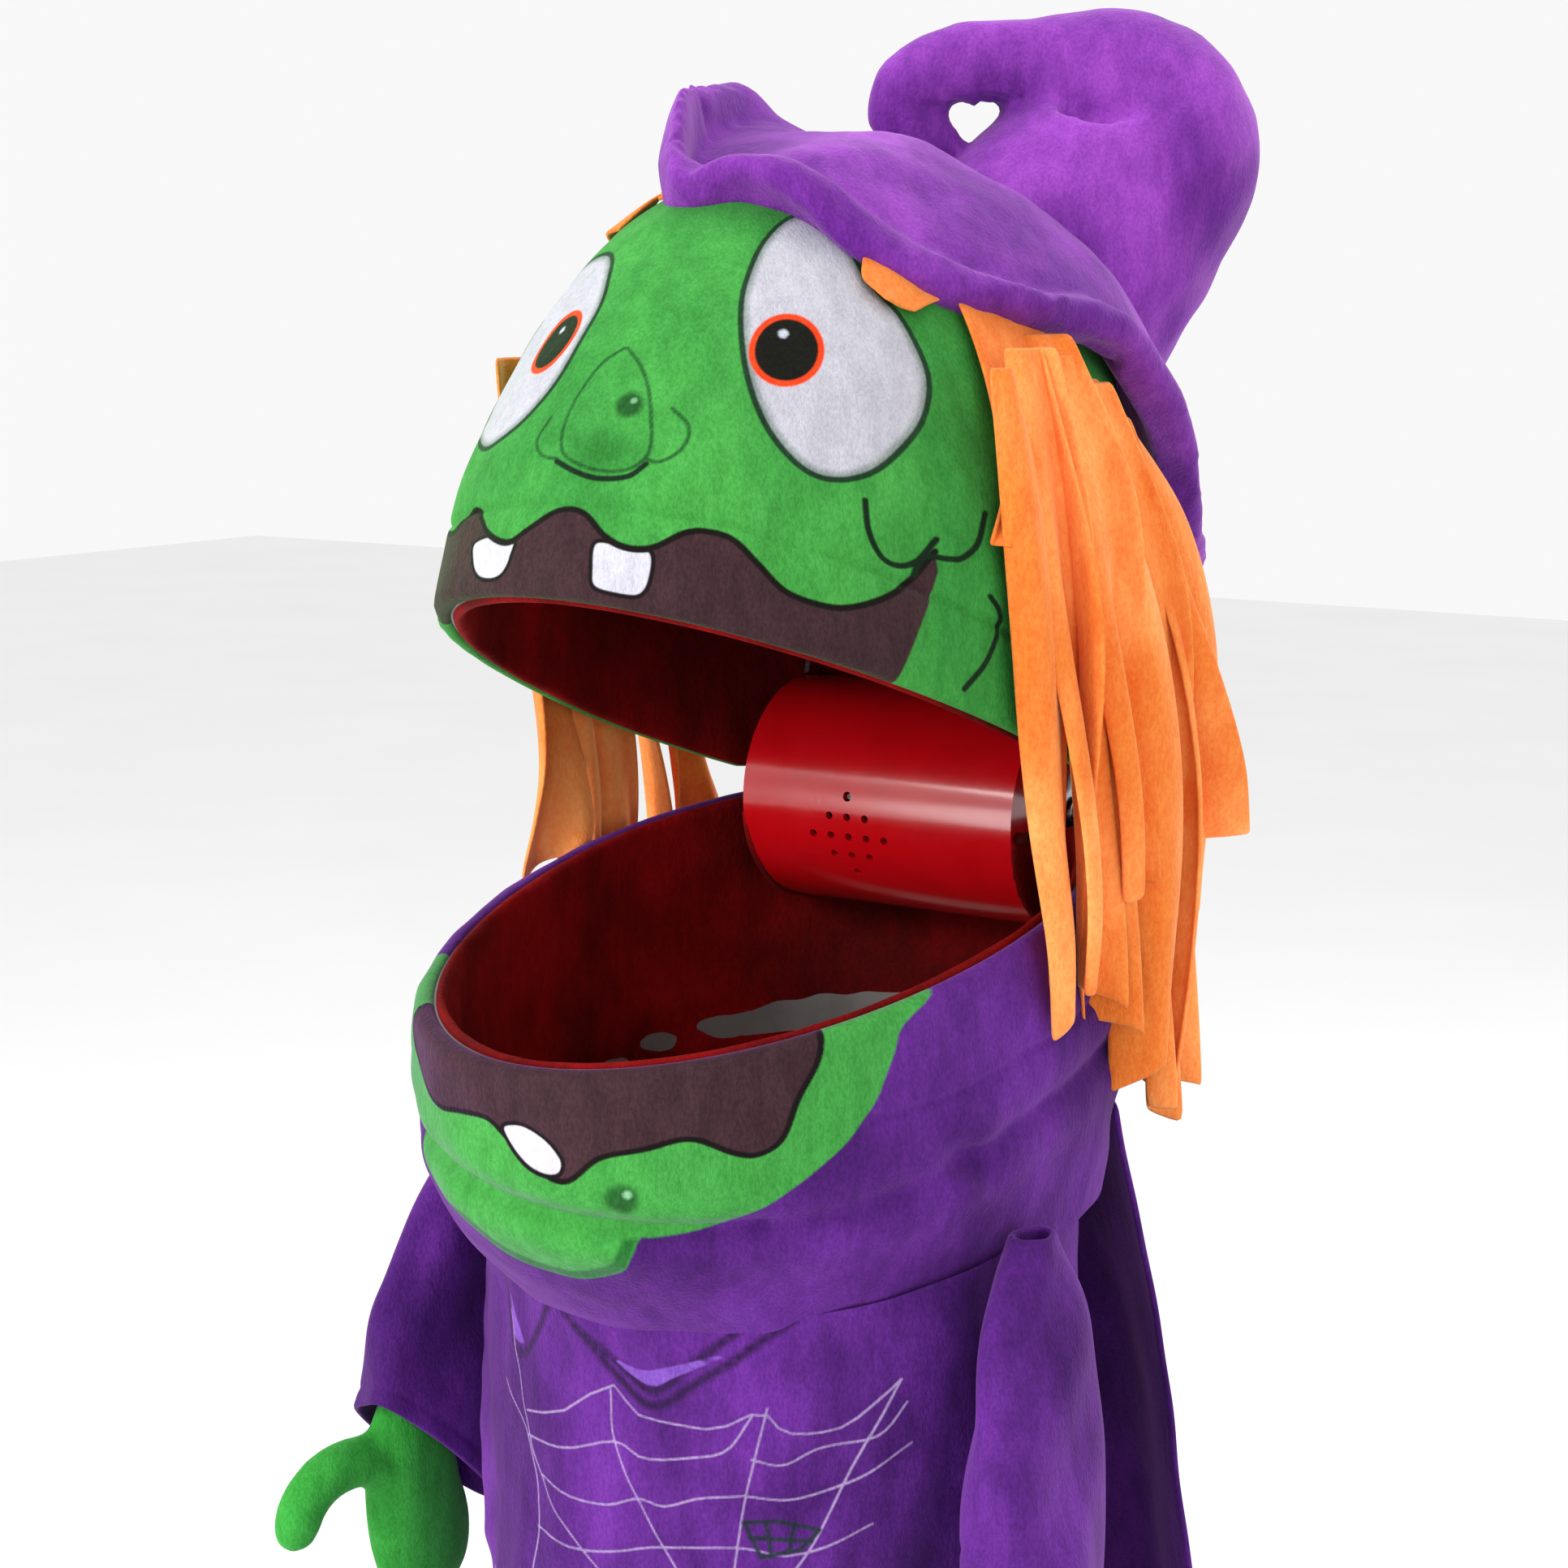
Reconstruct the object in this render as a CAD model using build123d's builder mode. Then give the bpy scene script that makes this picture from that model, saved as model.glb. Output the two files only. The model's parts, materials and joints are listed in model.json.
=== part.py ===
from build123d import *
from math import cos, radians, sin
import os

os.makedirs("parts", exist_ok=True)

# ---------------------------------------------------------------- driving dimensions (mm)
HINGE_Y = 105.0            # hinge axis behind the body's centre line
HINGE_Z = 600.0            # hinge axis above the floor
JAW_TILT = 11.0            # the bowl's rim drops towards the front by this angle
HEAD_TILT = -22.0          # the head's rim rises towards the front: mouth open
RIM_GAP = 1.5              # each rim stands off the hinge plane by this much
MOUTH_CENTRE = -105.0      # widest place of the mouth, in front of the hinge
COVER_T = 4.0              # plush cover over the rigid shells
SHELL_T = 3.0              # moulded shells
LINING_T = 3.0             # red plush linings
FIT = 0.4                  # air between nested layers
DRUM_R = 44.0              # hinge housing radius
DRUM_L = 60.0              # hinge housing half length
DRUM_T = 2.5               # hinge housing wall
SHAFT_R = 4.0              # hinge shaft
BODY_R = 112.0             # dress over the body tube
TUBE_R = 106.0
TUBE_T = 3.0
TUBE_JOINT_Z = 230.0
BASE_R = 120.0
BASE_T = 12.0
FOOT_H = 4.0
HEM_Z = 8.0
DOOR_W = 62.0              # battery door
DOOR_H = 52.0
DOOR_T = 2.5
WELL_BACK = 62.0           # back face of the battery well behind the hinge axis
WELL_TOP = 14.0
WELL_BOTTOM = -44.0
WELL_HALF = 46.0

HINGE = (0, HINGE_Y, HINGE_Z)


def tilted(angle):
    """Plane through the hinge axis, its front edge lower by the angle."""
    return Plane(origin=HINGE, x_dir=(1, 0, 0), z_dir=(0, -sin(radians(angle)), cos(radians(angle))))


JAW = tilted(JAW_TILT)
HEAD = tilted(HEAD_TILT)
AXIS = Plane(origin=HINGE, x_dir=(0, 1, 0), z_dir=(1, 0, 0))     # across the figure, along the hinge

# height above the rim plane, half width, front reach, back reach
HEAD_RINGS = (
    (RIM_GAP, 110, -270, 30), (40, 111, -271, 34), (80, 106, -263, 36), (120, 95, -248, 34),
    (150, 80, -229, 28), (174, 62, -203, 18), (188, 45, -178, 4),
)
JAW_RINGS = (
    (-RIM_GAP, 110, -270, 30), (-35, 116, -274, 30), (-70, 117, -268, 14), (-97, 113, -250, -10),
)
BOWL_RINGS = (
    (-RIM_GAP, 110, -270, 30), (-35, 112, -270, 28), (-70, 108, -258, 8), (-104, 97, -238, -30),
)


def egg(half_x, front, back, grow):
    """Egg-shaped outline: two half ellipses that meet at the mouth's widest place."""
    with BuildSketch(mode=Mode.PRIVATE) as outline:
        with BuildLine():
            for depth, start in ((MOUTH_CENTRE - front, 180), (back - MOUTH_CENTRE, 0)):
                EllipticalCenterArc((0, MOUTH_CENTRE), half_x + grow, depth + grow, start, arc_size=180)
        make_face()
    return outline.sketch


def egg_stack(frame, rings, grow=0.0):
    """Solid lofted through egg-shaped rings of a tilted frame."""
    with BuildPart() as stack:
        for height, half_x, front, back in rings:
            with BuildSketch(frame.offset(height)):
                add(egg(half_x, front, back, grow))
        loft()
    return stack.part


def moved(rings, shift):
    """The same rings with the last one moved along the frame."""
    height, *rest = rings[-1]
    return rings[:-1] + ((height + shift, *rest),)


def across(radius, half_length, centre=(0, 0)):
    """Solid cylinder along the hinge axis; the centre is given behind and above it."""
    with BuildPart() as bar:
        with BuildSketch(AXIS.offset(-half_length)):
            with Locations(centre):
                Circle(radius)
        extrude(amount=2 * half_length)
    return bar.part


def block(x_span, y_span, z_span, frame=Plane(HINGE)):
    """Box between pairs of limits in a frame at the hinge."""
    with BuildPart() as body:
        with BuildSketch(frame.offset(z_span[0])):
            with Locations(((x_span[0] + x_span[1]) / 2, (y_span[0] + y_span[1]) / 2)):
                Rectangle(x_span[1] - x_span[0], y_span[1] - y_span[0])
        extrude(amount=z_span[1] - z_span[0])
    return body.part


def save(part, name):
    part.label = name
    export_step(part, f"parts/{name}.step")


# ---------------------------------------------------------------- base
with BuildPart() as base_plate:
    with BuildSketch(Plane.XY.offset(FOOT_H)):
        Circle(BASE_R)
    extrude(amount=BASE_T)
    fillet(base_plate.edges().group_by(Axis.Z)[-1], 3)
    with BuildSketch(Plane.XY.offset(FOOT_H + BASE_T)):
        Circle(TUBE_R - TUBE_T - 0.3)
        Circle(TUBE_R - TUBE_T - 3.3, mode=Mode.SUBTRACT)
    extrude(amount=16)
    with BuildSketch(Plane.XY.offset(FOOT_H)):
        Circle(80.4)
    extrude(amount=8.2, mode=Mode.SUBTRACT)
    with Locations(Plane.XY.offset(FOOT_H + BASE_T)):
        with PolarLocations(60, 4, 45):
            Hole(2.1)
save(base_plate.part, "base_plate")

with BuildPart() as base_weight:
    with BuildSketch(Plane.XY.offset(FOOT_H + 0.2)):
        Circle(80)
        with PolarLocations(60, 4, 45):
            Circle(2.1, mode=Mode.SUBTRACT)
    extrude(amount=8)
save(base_weight.part, "base_weight")

with BuildPart() as base_screws:
    with PolarLocations(60, 4, 45):
        with Locations((0, 0, FOOT_H + BASE_T + 1.2)):
            Cylinder(4, 2.4)
        with Locations((0, 0, FOOT_H + 0.2 + BASE_T / 2)):
            Cylinder(2.0, BASE_T - 0.4)
save(base_screws.part, "base_screws")

with BuildPart() as base_feet:
    with BuildSketch(Plane.XY):
        with PolarLocations(96, 4):
            Circle(9)
        Circle(12)
    extrude(amount=FOOT_H)
save(base_feet.part, "base_feet")

# ---------------------------------------------------------------- body tube and bulkhead
BULKHEAD = -118.0          # underside of the bulkhead, in the jaw's frame
BULKHEAD_T = 5.0


def above_jaw_plane(height):
    """Large block over a plane of the jaw's frame, used as a cutter."""
    return block((-200, 200), (-400, 150), (height, height + 300), JAW)


with BuildPart() as body_tube_lower:
    with BuildSketch(Plane.XY.offset(FOOT_H + BASE_T)):
        Circle(TUBE_R)
        Circle(TUBE_R - TUBE_T, mode=Mode.SUBTRACT)
    extrude(amount=TUBE_JOINT_Z - FOOT_H - BASE_T)
save(body_tube_lower.part, "body_tube_lower")

with BuildPart() as body_tube_upper:
    with BuildSketch(Plane.XY.offset(TUBE_JOINT_Z)):
        Circle(TUBE_R)
        Circle(TUBE_R - TUBE_T, mode=Mode.SUBTRACT)
    extrude(amount=HINGE_Z - TUBE_JOINT_Z)
    add(above_jaw_plane(BULKHEAD), mode=Mode.SUBTRACT)
save(body_tube_upper.part, "body_tube_upper")

with BuildPart() as tube_joining_ring:
    with BuildSketch(Plane.XY.offset(TUBE_JOINT_Z - 14)):
        Circle(TUBE_R - TUBE_T - 0.2)
        Circle(TUBE_R - TUBE_T - 3.2, mode=Mode.SUBTRACT)
    extrude(amount=28)
save(tube_joining_ring.part, "tube_joining_ring")

with BuildPart() as bulkhead:
    with BuildSketch(Plane.XY.offset(300)):
        Circle(TUBE_R)
    extrude(amount=300)
    add(above_jaw_plane(BULKHEAD + 0.1 + BULKHEAD_T), mode=Mode.SUBTRACT)
    add(block((-200, 200), (-400, 150), (-500, BULKHEAD + 0.1), JAW), mode=Mode.SUBTRACT)
save(bulkhead.part, "bulkhead")

# ---------------------------------------------------------------- lower jaw
with BuildPart() as jaw_keep_out:
    add(across(DRUM_R + 0.6, DRUM_L + 0.6))
    add(across(14, DRUM_L + 6.5))
    add(block((-WELL_HALF - 0.6, WELL_HALF + 0.6), (0, WELL_BACK + 4), (WELL_BOTTOM - 0.6, WELL_TOP + 60)))

JAW_MOUTH = ((1, 110, -270, 30),)
BOWL_OUT = -COVER_T - FIT
LINE_OUT = BOWL_OUT - SHELL_T - FIT

with BuildPart() as jaw_cover:
    add(egg_stack(JAW, JAW_RINGS))
    add(egg_stack(JAW, JAW_MOUTH + moved(JAW_RINGS, -4)[1:], -COVER_T), mode=Mode.SUBTRACT)
    add(jaw_keep_out.part, mode=Mode.SUBTRACT)
save(jaw_cover.part, "jaw_cover")

with BuildPart() as bowl_shell:
    add(egg_stack(JAW, BOWL_RINGS, BOWL_OUT))
    add(egg_stack(JAW, JAW_MOUTH + moved(BOWL_RINGS, SHELL_T)[1:], BOWL_OUT - SHELL_T), mode=Mode.SUBTRACT)
    add(jaw_keep_out.part, mode=Mode.SUBTRACT)
save(bowl_shell.part, "bowl_shell")

with BuildPart() as bowl_lining:
    add(egg_stack(JAW, moved(BOWL_RINGS, SHELL_T + FIT), LINE_OUT))
    add(egg_stack(JAW, JAW_MOUTH + moved(BOWL_RINGS, SHELL_T + FIT + LINING_T)[1:], LINE_OUT - LINING_T),
        mode=Mode.SUBTRACT)
    add(jaw_keep_out.part, mode=Mode.SUBTRACT)
save(bowl_lining.part, "bowl_lining")

# ---------------------------------------------------------------- hinge housing
CAP_T = 3.0
HOLE_PITCH = 8.0
HOLE_ROWS = (1, 3, 5, 3, 1)
GRILLE_X = -12.0
GRILLE_ANGLE = -14.0       # middle of the hole pattern, below the forward direction
POST_X, POST_Z = 53.5, 29.0
MOTOR_R = 27.0             # motor axis to hinge axis
MOTOR_ANGLE = 62.0         # motor axis, above the backward direction
MOTOR_AT = (MOTOR_R * cos(radians(MOTOR_ANGLE)), MOTOR_R * sin(radians(MOTOR_ANGLE)))


def forward(angle):
    """Plane through the hinge axis facing forward, raised by the angle."""
    return Plane(origin=HINGE, x_dir=(1, 0, 0), z_dir=(0, -cos(radians(angle)), sin(radians(angle))))


def along_back(radius, y_span, x_places, z_places):
    """Rods that lie front to back through the housing."""
    frame = Plane(origin=HINGE, x_dir=(1, 0, 0), z_dir=(0, -1, 0))
    with BuildPart() as rods:
        with BuildSketch(frame.offset(-y_span[1])):
            with Locations(*[(x, z) for x in x_places for z in z_places]):
                Circle(radius)
        extrude(amount=y_span[1] - y_span[0])
    return rods.part


WIDE = (-DRUM_L - 1, DRUM_L + 1)
BACK_HALF = block(WIDE, (0, 90), (-90, 90))
FRONT_HALF = block(WIDE, (-90, 0), (-90, 90))
POSTS = ((-POST_X, POST_X), (-POST_Z, POST_Z))
BUSH_R = 7.0

with BuildPart() as housing_front:
    add(across(DRUM_R, DRUM_L))
    add(across(DRUM_R - DRUM_T, DRUM_L - CAP_T), mode=Mode.SUBTRACT)
    add(along_back(4, (-20, 10), *POSTS))
    add(across(BUSH_R, DRUM_L + 1), mode=Mode.SUBTRACT)
    add(BACK_HALF, mode=Mode.SUBTRACT)
    add(along_back(1.5, (-14, 1), *POSTS), mode=Mode.SUBTRACT)
    for row, count in enumerate(HOLE_ROWS):
        with BuildSketch(forward(GRILLE_ANGLE + (2 - row) * 10.4).offset(DRUM_R - 8)):
            with Locations((GRILLE_X, 0)):
                with GridLocations(HOLE_PITCH, 1, count, 1):
                    Circle(1.9 if row == 0 else 1.5)
        extrude(amount=12, mode=Mode.SUBTRACT)
save(housing_front.part, "housing_front")

WELL = ((-WELL_HALF + 12, WELL_HALF), (0, WELL_BACK), (WELL_BOTTOM, WELL_TOP))
DOOR_Z = (WELL_BOTTOM + WELL_TOP) / 2
SWITCH_X = 39.0
SWITCH_Z = -11.0
PIVOT = (WELL_BACK + 2.6, WELL_BOTTOM + 2.4)
LUGS = (-18.0, 0.0, 18.0)

with BuildPart() as housing_back:
    add(across(DRUM_R, DRUM_L))
    add(block(*WELL))
    add(across(DRUM_R - DRUM_T, DRUM_L - CAP_T), mode=Mode.SUBTRACT)
    add(block((-WELL_HALF + 14.5, WELL_HALF - 2.5), (0, WELL_BACK - 2.5),
              (WELL_BOTTOM + 2.5, WELL_TOP - 2.5)),
        mode=Mode.SUBTRACT)
    add(along_back(4, (-10, 29), *POSTS))
    add(across(BUSH_R, DRUM_L + 1), mode=Mode.SUBTRACT)
    add(FRONT_HALF, mode=Mode.SUBTRACT)
    add(along_back(1.7, (-1, 40), *POSTS), mode=Mode.SUBTRACT)
    add(along_back(3.4, (26, 40), *POSTS), mode=Mode.SUBTRACT)
    add(block((-DOOR_W / 2, DOOR_W / 2), (WELL_BACK - 6, WELL_BACK + 1),
              (DOOR_Z - DOOR_H / 2, DOOR_Z + DOOR_H / 2)), mode=Mode.SUBTRACT)
    add(block((SWITCH_X - 2, SWITCH_X + 2), (WELL_BACK - 6, WELL_BACK + 1), (SWITCH_Z - 6, SWITCH_Z + 6)),
        mode=Mode.SUBTRACT)
    for x in LUGS:
        add(block((x - 2, x + 2), (WELL_BACK - 0.5, PIVOT[0]), (WELL_BOTTOM, PIVOT[1])))
        add(across(2.4, 2, PIVOT).moved(Location((x, 0, 0))))
    add(across(1.0, 24, PIVOT), mode=Mode.SUBTRACT)
save(housing_back.part, "housing_back")

with BuildPart() as housing_screws:
    add(along_back(1.5, (-13, 26.2), *POSTS))
    add(along_back(3.0, (26.2, 28.6), *POSTS))
save(housing_screws.part, "housing_screws")

with BuildPart() as shaft_bushes:
    for side in (-1, 1):
        with BuildSketch(AXIS.offset(side * (DRUM_L - CAP_T / 2) - 2)):
            Circle(BUSH_R - 0.05)
            Circle(SHAFT_R + 0.05, mode=Mode.SUBTRACT)
        extrude(amount=4)
save(shaft_bushes.part, "shaft_bushes")

# ---------------------------------------------------------------- loudspeaker, sensor, board
SPEAKER = forward(GRILLE_ANGLE - 6)
with BuildPart() as speaker_basket:
    with BuildSketch(SPEAKER.offset(32)):
        with Locations((GRILLE_X, 0)):
            Circle(13.4)
            Circle(12.2, mode=Mode.SUBTRACT)
    extrude(amount=5)
    with BuildSketch(SPEAKER.offset(30)):
        with Locations((GRILLE_X, 0)):
            Circle(13.4)
    extrude(amount=2)
save(speaker_basket.part, "speaker_basket")

with BuildPart() as speaker_cone:
    with BuildSketch(SPEAKER.offset(35.2)):
        with Locations((GRILLE_X, 0)):
            Circle(12.0)
    with BuildSketch(SPEAKER.offset(32.2)):
        with Locations((GRILLE_X, 0)):
            Circle(5)
    loft()
save(speaker_cone.part, "speaker_cone")

with BuildPart() as speaker_magnet:
    with BuildSketch(SPEAKER.offset(22)):
        with Locations((GRILLE_X, 0)):
            Circle(9)
    extrude(amount=7.9)
save(speaker_magnet.part, "speaker_magnet")

with BuildPart() as sensor_eye:
    with BuildSketch(forward(GRILLE_ANGLE + 20.8).offset(33)):
        with Locations((GRILLE_X, 0)):
            Circle(1.7)
    extrude(amount=9.5)
    fillet(sensor_eye.edges().sort_by(Axis.Y)[0], 0.8)
save(sensor_eye.part, "sensor_eye")

with BuildPart() as circuit_board:
    add(block((-34, 10), (-12, 18), (-36, -34.4)))
save(circuit_board.part, "circuit_board")

with BuildPart() as board_chips:
    add(block((-24, -12), (-4, 8), (-34.3, -32)))
    add(block((-4, 4), (4, 12), (-34.3, -31)))
save(board_chips.part, "board_chips")

# ---------------------------------------------------------------- drive
MODULE = 1.0
SECTOR_TEETH, PINION_TEETH = 40, 14
GEAR_X = (20.0, 25.0)


def gear(teeth, centre, phase, x_span, bore):
    """Spur gear with straight-sided teeth, its axis along the hinge direction."""
    pitch = MODULE * teeth / 2
    step = 360 / teeth
    with BuildPart() as wheel:
        with BuildSketch(AXIS.offset(x_span[0])):
            with Locations(centre):
                Circle(pitch - 1.2 * MODULE)
                with PolarLocations(0, teeth, phase):
                    Polygon((pitch - 1.5 * MODULE, -0.95 * MODULE), (pitch, -0.62 * MODULE),
                            (pitch + 0.85 * MODULE, -0.28 * MODULE), (pitch + 0.85 * MODULE, 0.28 * MODULE),
                            (pitch, 0.62 * MODULE), (pitch - 1.5 * MODULE, 0.95 * MODULE), align=None)
                Circle(bore, mode=Mode.SUBTRACT)
        extrude(amount=x_span[1] - x_span[0])
    return wheel.part


with BuildPart() as sector_gear:
    add(gear(SECTOR_TEETH, (0, 0), MOTOR_ANGLE, GEAR_X, SHAFT_R))
    add(across(SHAFT_R + 3.5, 3.5).moved(Location((GEAR_X[1] + 3.4, 0, 0))))
    add(across(SHAFT_R, 40), mode=Mode.SUBTRACT)
save(sector_gear.part, "sector_gear")

with BuildPart() as output_pinion:
    add(gear(PINION_TEETH, MOTOR_AT, MOTOR_ANGLE + 180 + 180 / PINION_TEETH, GEAR_X, 0.5))
    with BuildSketch(AXIS.offset(8)):
        with Locations(MOTOR_AT):
            Circle(1.5)
    extrude(amount=20)
save(output_pinion.part, "output_pinion")

with BuildPart() as motor_can:
    with BuildSketch(AXIS.offset(-36)):
        with Locations(MOTOR_AT):
            Circle(10)
    extrude(amount=27.8)
    fillet(motor_can.edges().group_by(Axis.X)[0], 1)
save(motor_can.part, "motor_can")

with BuildPart() as motor_gearbox:
    with BuildSketch(AXIS.offset(-8)):
        with Locations(MOTOR_AT):
            Circle(11)
    extrude(amount=21.8)
    with BuildSketch(AXIS.offset(7)):
        with Locations(MOTOR_AT):
            Circle(1.55)
    extrude(amount=10, mode=Mode.SUBTRACT)
save(motor_gearbox.part, "motor_gearbox")

with BuildPart() as motor_bracket:
    with BuildSketch(AXIS.offset(14)):
        Circle(DRUM_R - DRUM_T - 0.2)
        Circle(SHAFT_R + 1.5, mode=Mode.SUBTRACT)
        with Locations(MOTOR_AT):
            Circle(2.5, mode=Mode.SUBTRACT)
    extrude(amount=2)
save(motor_bracket.part, "motor_bracket")

with BuildPart() as hinge_shaft:
    add(across(SHAFT_R, DRUM_L + 5.5))
save(hinge_shaft.part, "hinge_shaft")

# ---------------------------------------------------------------- batteries and their door
with BuildPart() as battery_tray:
    add(block((-31, 31), (43.4, 59), (WELL_BOTTOM + 2.7, WELL_TOP - 2.7)))
    for row in range(3):
        add(across(7.4, 29.5, (52, WELL_BOTTOM + 11.6 + row * 17.4)), mode=Mode.SUBTRACT)
    add(block((-29.5, 29.5), (52, 60), (WELL_BOTTOM + 4.2, WELL_TOP - 4.2)), mode=Mode.SUBTRACT)
save(battery_tray.part, "battery_tray")

with BuildPart() as battery_cells:
    for row in range(3):
        add(across(7.1, 25, (52, WELL_BOTTOM + 11.6 + row * 17.4)))
save(battery_cells.part, "battery_cells")

with BuildPart() as battery_contacts:
    for row in range(3):
        for side in (-1, 1):
            add(block((min(side * 25.1, side * 29.4), max(side * 25.1, side * 29.4)), (49, 55),
                      (WELL_BOTTOM + 8.6 + row * 17.4, WELL_BOTTOM + 14.6 + row * 17.4)))
save(battery_contacts.part, "battery_contacts")

with BuildPart() as battery_door:
    add(block((-DOOR_W / 2 + 0.3, DOOR_W / 2 - 0.3), (WELL_BACK - DOOR_T, WELL_BACK),
              (DOOR_Z - DOOR_H / 2 + 0.4, DOOR_Z + DOOR_H / 2 - 0.3)))
    for side in (-1, 1):
        add(block((side * 9 - 5, side * 9 + 5), (WELL_BACK - 0.5, PIVOT[0]),
                  (PIVOT[1] + 1.0, PIVOT[1] + 2.2)))
        add(across(2.2, 5, PIVOT).moved(Location((side * 9, 0, 0))))
    add(block((-8, 8), (WELL_BACK - 0.1, WELL_BACK + 1.2),
              (DOOR_Z + DOOR_H / 2 - 6, DOOR_Z + DOOR_H / 2 - 3)))
    add(across(1.05, 24, PIVOT), mode=Mode.SUBTRACT)
save(battery_door.part, "battery_door")

with BuildPart() as door_pin:
    add(across(1.0, 20, PIVOT))
save(door_pin.part, "door_pin")

with BuildPart() as switch_body:
    add(block((SWITCH_X - 4, SWITCH_X + 4), (WELL_BACK - 9.5, WELL_BACK - 3.5), (SWITCH_Z - 9, SWITCH_Z + 9)))
save(switch_body.part, "switch_body")

with BuildPart() as switch_knob:
    add(block((SWITCH_X - 1.7, SWITCH_X + 1.7), (WELL_BACK - 3.3, WELL_BACK + 3),
              (SWITCH_Z - 5.5, SWITCH_Z - 0.5)))
save(switch_knob.part, "switch_knob")

# ---------------------------------------------------------------- head
ARM_T = 2.0
ARM_GAP = 0.8              # arm to housing end
ARM_IN = DRUM_L + ARM_GAP
ARM_OUT = ARM_IN + ARM_T
ARM_TOP = 72.0
SHELL_OUT = -COVER_T - FIT
INNER_OUT = SHELL_OUT - SHELL_T - FIT
HEAD_MOUTH = ((-1, 110, -270, 30),)
BEHIND_HINGE = block((-90, 90), (-6, 90), (-150, 8), JAW)
HOUSING_ROOM = across(DRUM_R + 2, DRUM_L + 0.8)


def dome(depth):
    """The head's outline, smaller by a depth all round and lower at the top."""
    return egg_stack(HEAD, moved(HEAD_RINGS, -depth), -depth)


def dome_hollow(depth):
    """What is taken out of a head layer of that inner depth, open at the mouth."""
    return egg_stack(HEAD, HEAD_MOUTH + moved(HEAD_RINGS, -depth)[1:], -depth)


with BuildPart() as arm_room:
    for side in (-1, 1):
        middle = side * (ARM_IN + ARM_OUT + 2) / 2
        add(block((middle - 3.4, middle + 3.4), (-22, 60), (-20, ARM_TOP + 4), HEAD))

for name, outer, inner in (("head_cover", 0, COVER_T), ("head_shell", -SHELL_OUT, SHELL_T - SHELL_OUT),
                           ("head_lining", -INNER_OUT, LINING_T - INNER_OUT)):
    with BuildPart() as layer:
        add(dome(outer))
        add(dome_hollow(inner), mode=Mode.SUBTRACT)
        add(HOUSING_ROOM, mode=Mode.SUBTRACT)
        add(BEHIND_HINGE, mode=Mode.SUBTRACT)
        add(arm_room.part, mode=Mode.SUBTRACT)
    save(layer.part, name)

for side, name in ((-1, "hinge_arm_right"), (1, "hinge_arm_left")):
    arm_place = side * (ARM_IN + ARM_T / 2) - ARM_T / 2
    arm_frame = Plane(origin=HINGE, x_dir=HEAD.y_dir, z_dir=(1, 0, 0)).offset(arm_place)
    with BuildPart() as hinge_arm:
        with BuildSketch(arm_frame):
            Circle(9)
            Polygon((-9, 0), (-17, ARM_TOP), (12, ARM_TOP), (9, 0), align=None)
            Circle(SHAFT_R, mode=Mode.SUBTRACT)
        extrude(amount=ARM_T)
    save(hinge_arm.part, name)

with BuildPart() as shaft_clips:
    for side in (-1, 1):
        with BuildSketch(AXIS.offset(side * (ARM_OUT + 0.9) - 0.6)):
            Circle(6.5)
            Circle(SHAFT_R, mode=Mode.SUBTRACT)
        extrude(amount=1.2)
save(shaft_clips.part, "shaft_clips")

# ---------------------------------------------------------------- hat
HAT_ROLL = 14.0            # the brim is lower on the figure's left side
BRIM_T = 16.0
HAT = Plane(HEAD * Location((0, -69, 178), (-2, HAT_ROLL, 0)))
BRIM_STATIONS = ((-110, -40, 30), (-90, -90, 70), (-58, -136, 120), (0, -172, 150), (60, -150, 150),
                 (95, -100, 95), (118, -45, 25))


def brim_height(x, v):
    """Middle of the brim: flat over the crown, drooping in front, at the back and on one side."""
    droop = 64 * (-v / 172) ** 5 if v < 0 else 100 * (v / 155) ** 3
    if x <= 0:
        return 30 - droop + 14 * (x / 100) ** 2
    corner = 24 * (x / 85) * max(0, 1 - ((v + 118) / 90) ** 2)
    return 30 - droop - 30 * (x / 100) ** 3 - corner


def brim(underside=None):
    """The brim, or everything below its upper face down to a given depth."""
    with BuildPart() as body:
        for x, front, back in BRIM_STATIONS:
            places = [front + (back - front) * step / 8 for step in range(9)]
            upper = [(v, brim_height(x, v) + BRIM_T / 2) for v in places]
            lower = [(v, w - BRIM_T if underside is None else underside) for v, w in reversed(upper)]
            station = Plane(origin=HAT.from_local_coords((x, 0, 0)), x_dir=HAT.y_dir, z_dir=HAT.x_dir)
            with BuildSketch(station):
                Polygon(*upper, *lower, align=None)
        loft(ruled=True)
    return body.part


with BuildPart() as hat_brim:
    add(brim())
    add(dome(-FIT), mode=Mode.SUBTRACT)
save(hat_brim.part, "hat_brim")

# across the figure, behind the hinge, above the hinge, radius: the crown leans back and its tip curls forward
CROWN = ((4, 57, 192, 63), (12, 64, 203, 62), (26, 77, 226, 57), (38, 87, 251, 50), (34, 84, 273, 37),
         (19, 70, 285, 27), (2, 56, 286, 18.5), (-16, 40, 284, 17), (-31, 26, 276, 17), (-35, 23, 263, 15),
         (-24, 32, 256, 9))
with BuildPart() as hat_crown:
    for (*low, r_low), (*high, r_high) in zip(CROWN, CROWN[1:]):
        start = Vector(*low) + Vector(*HINGE)
        reach = Vector(*high) + Vector(*HINGE) - start
        link = Plane(origin=start, z_dir=reach)
        with BuildSketch(link):
            Circle(r_low)
        with BuildSketch(link.offset(reach.length)):
            Circle(r_high)
        loft()
        with Locations(start + reach):
            Sphere(r_high)
    add(brim(-150), mode=Mode.SUBTRACT)
save(hat_crown.part, "hat_crown")

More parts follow.
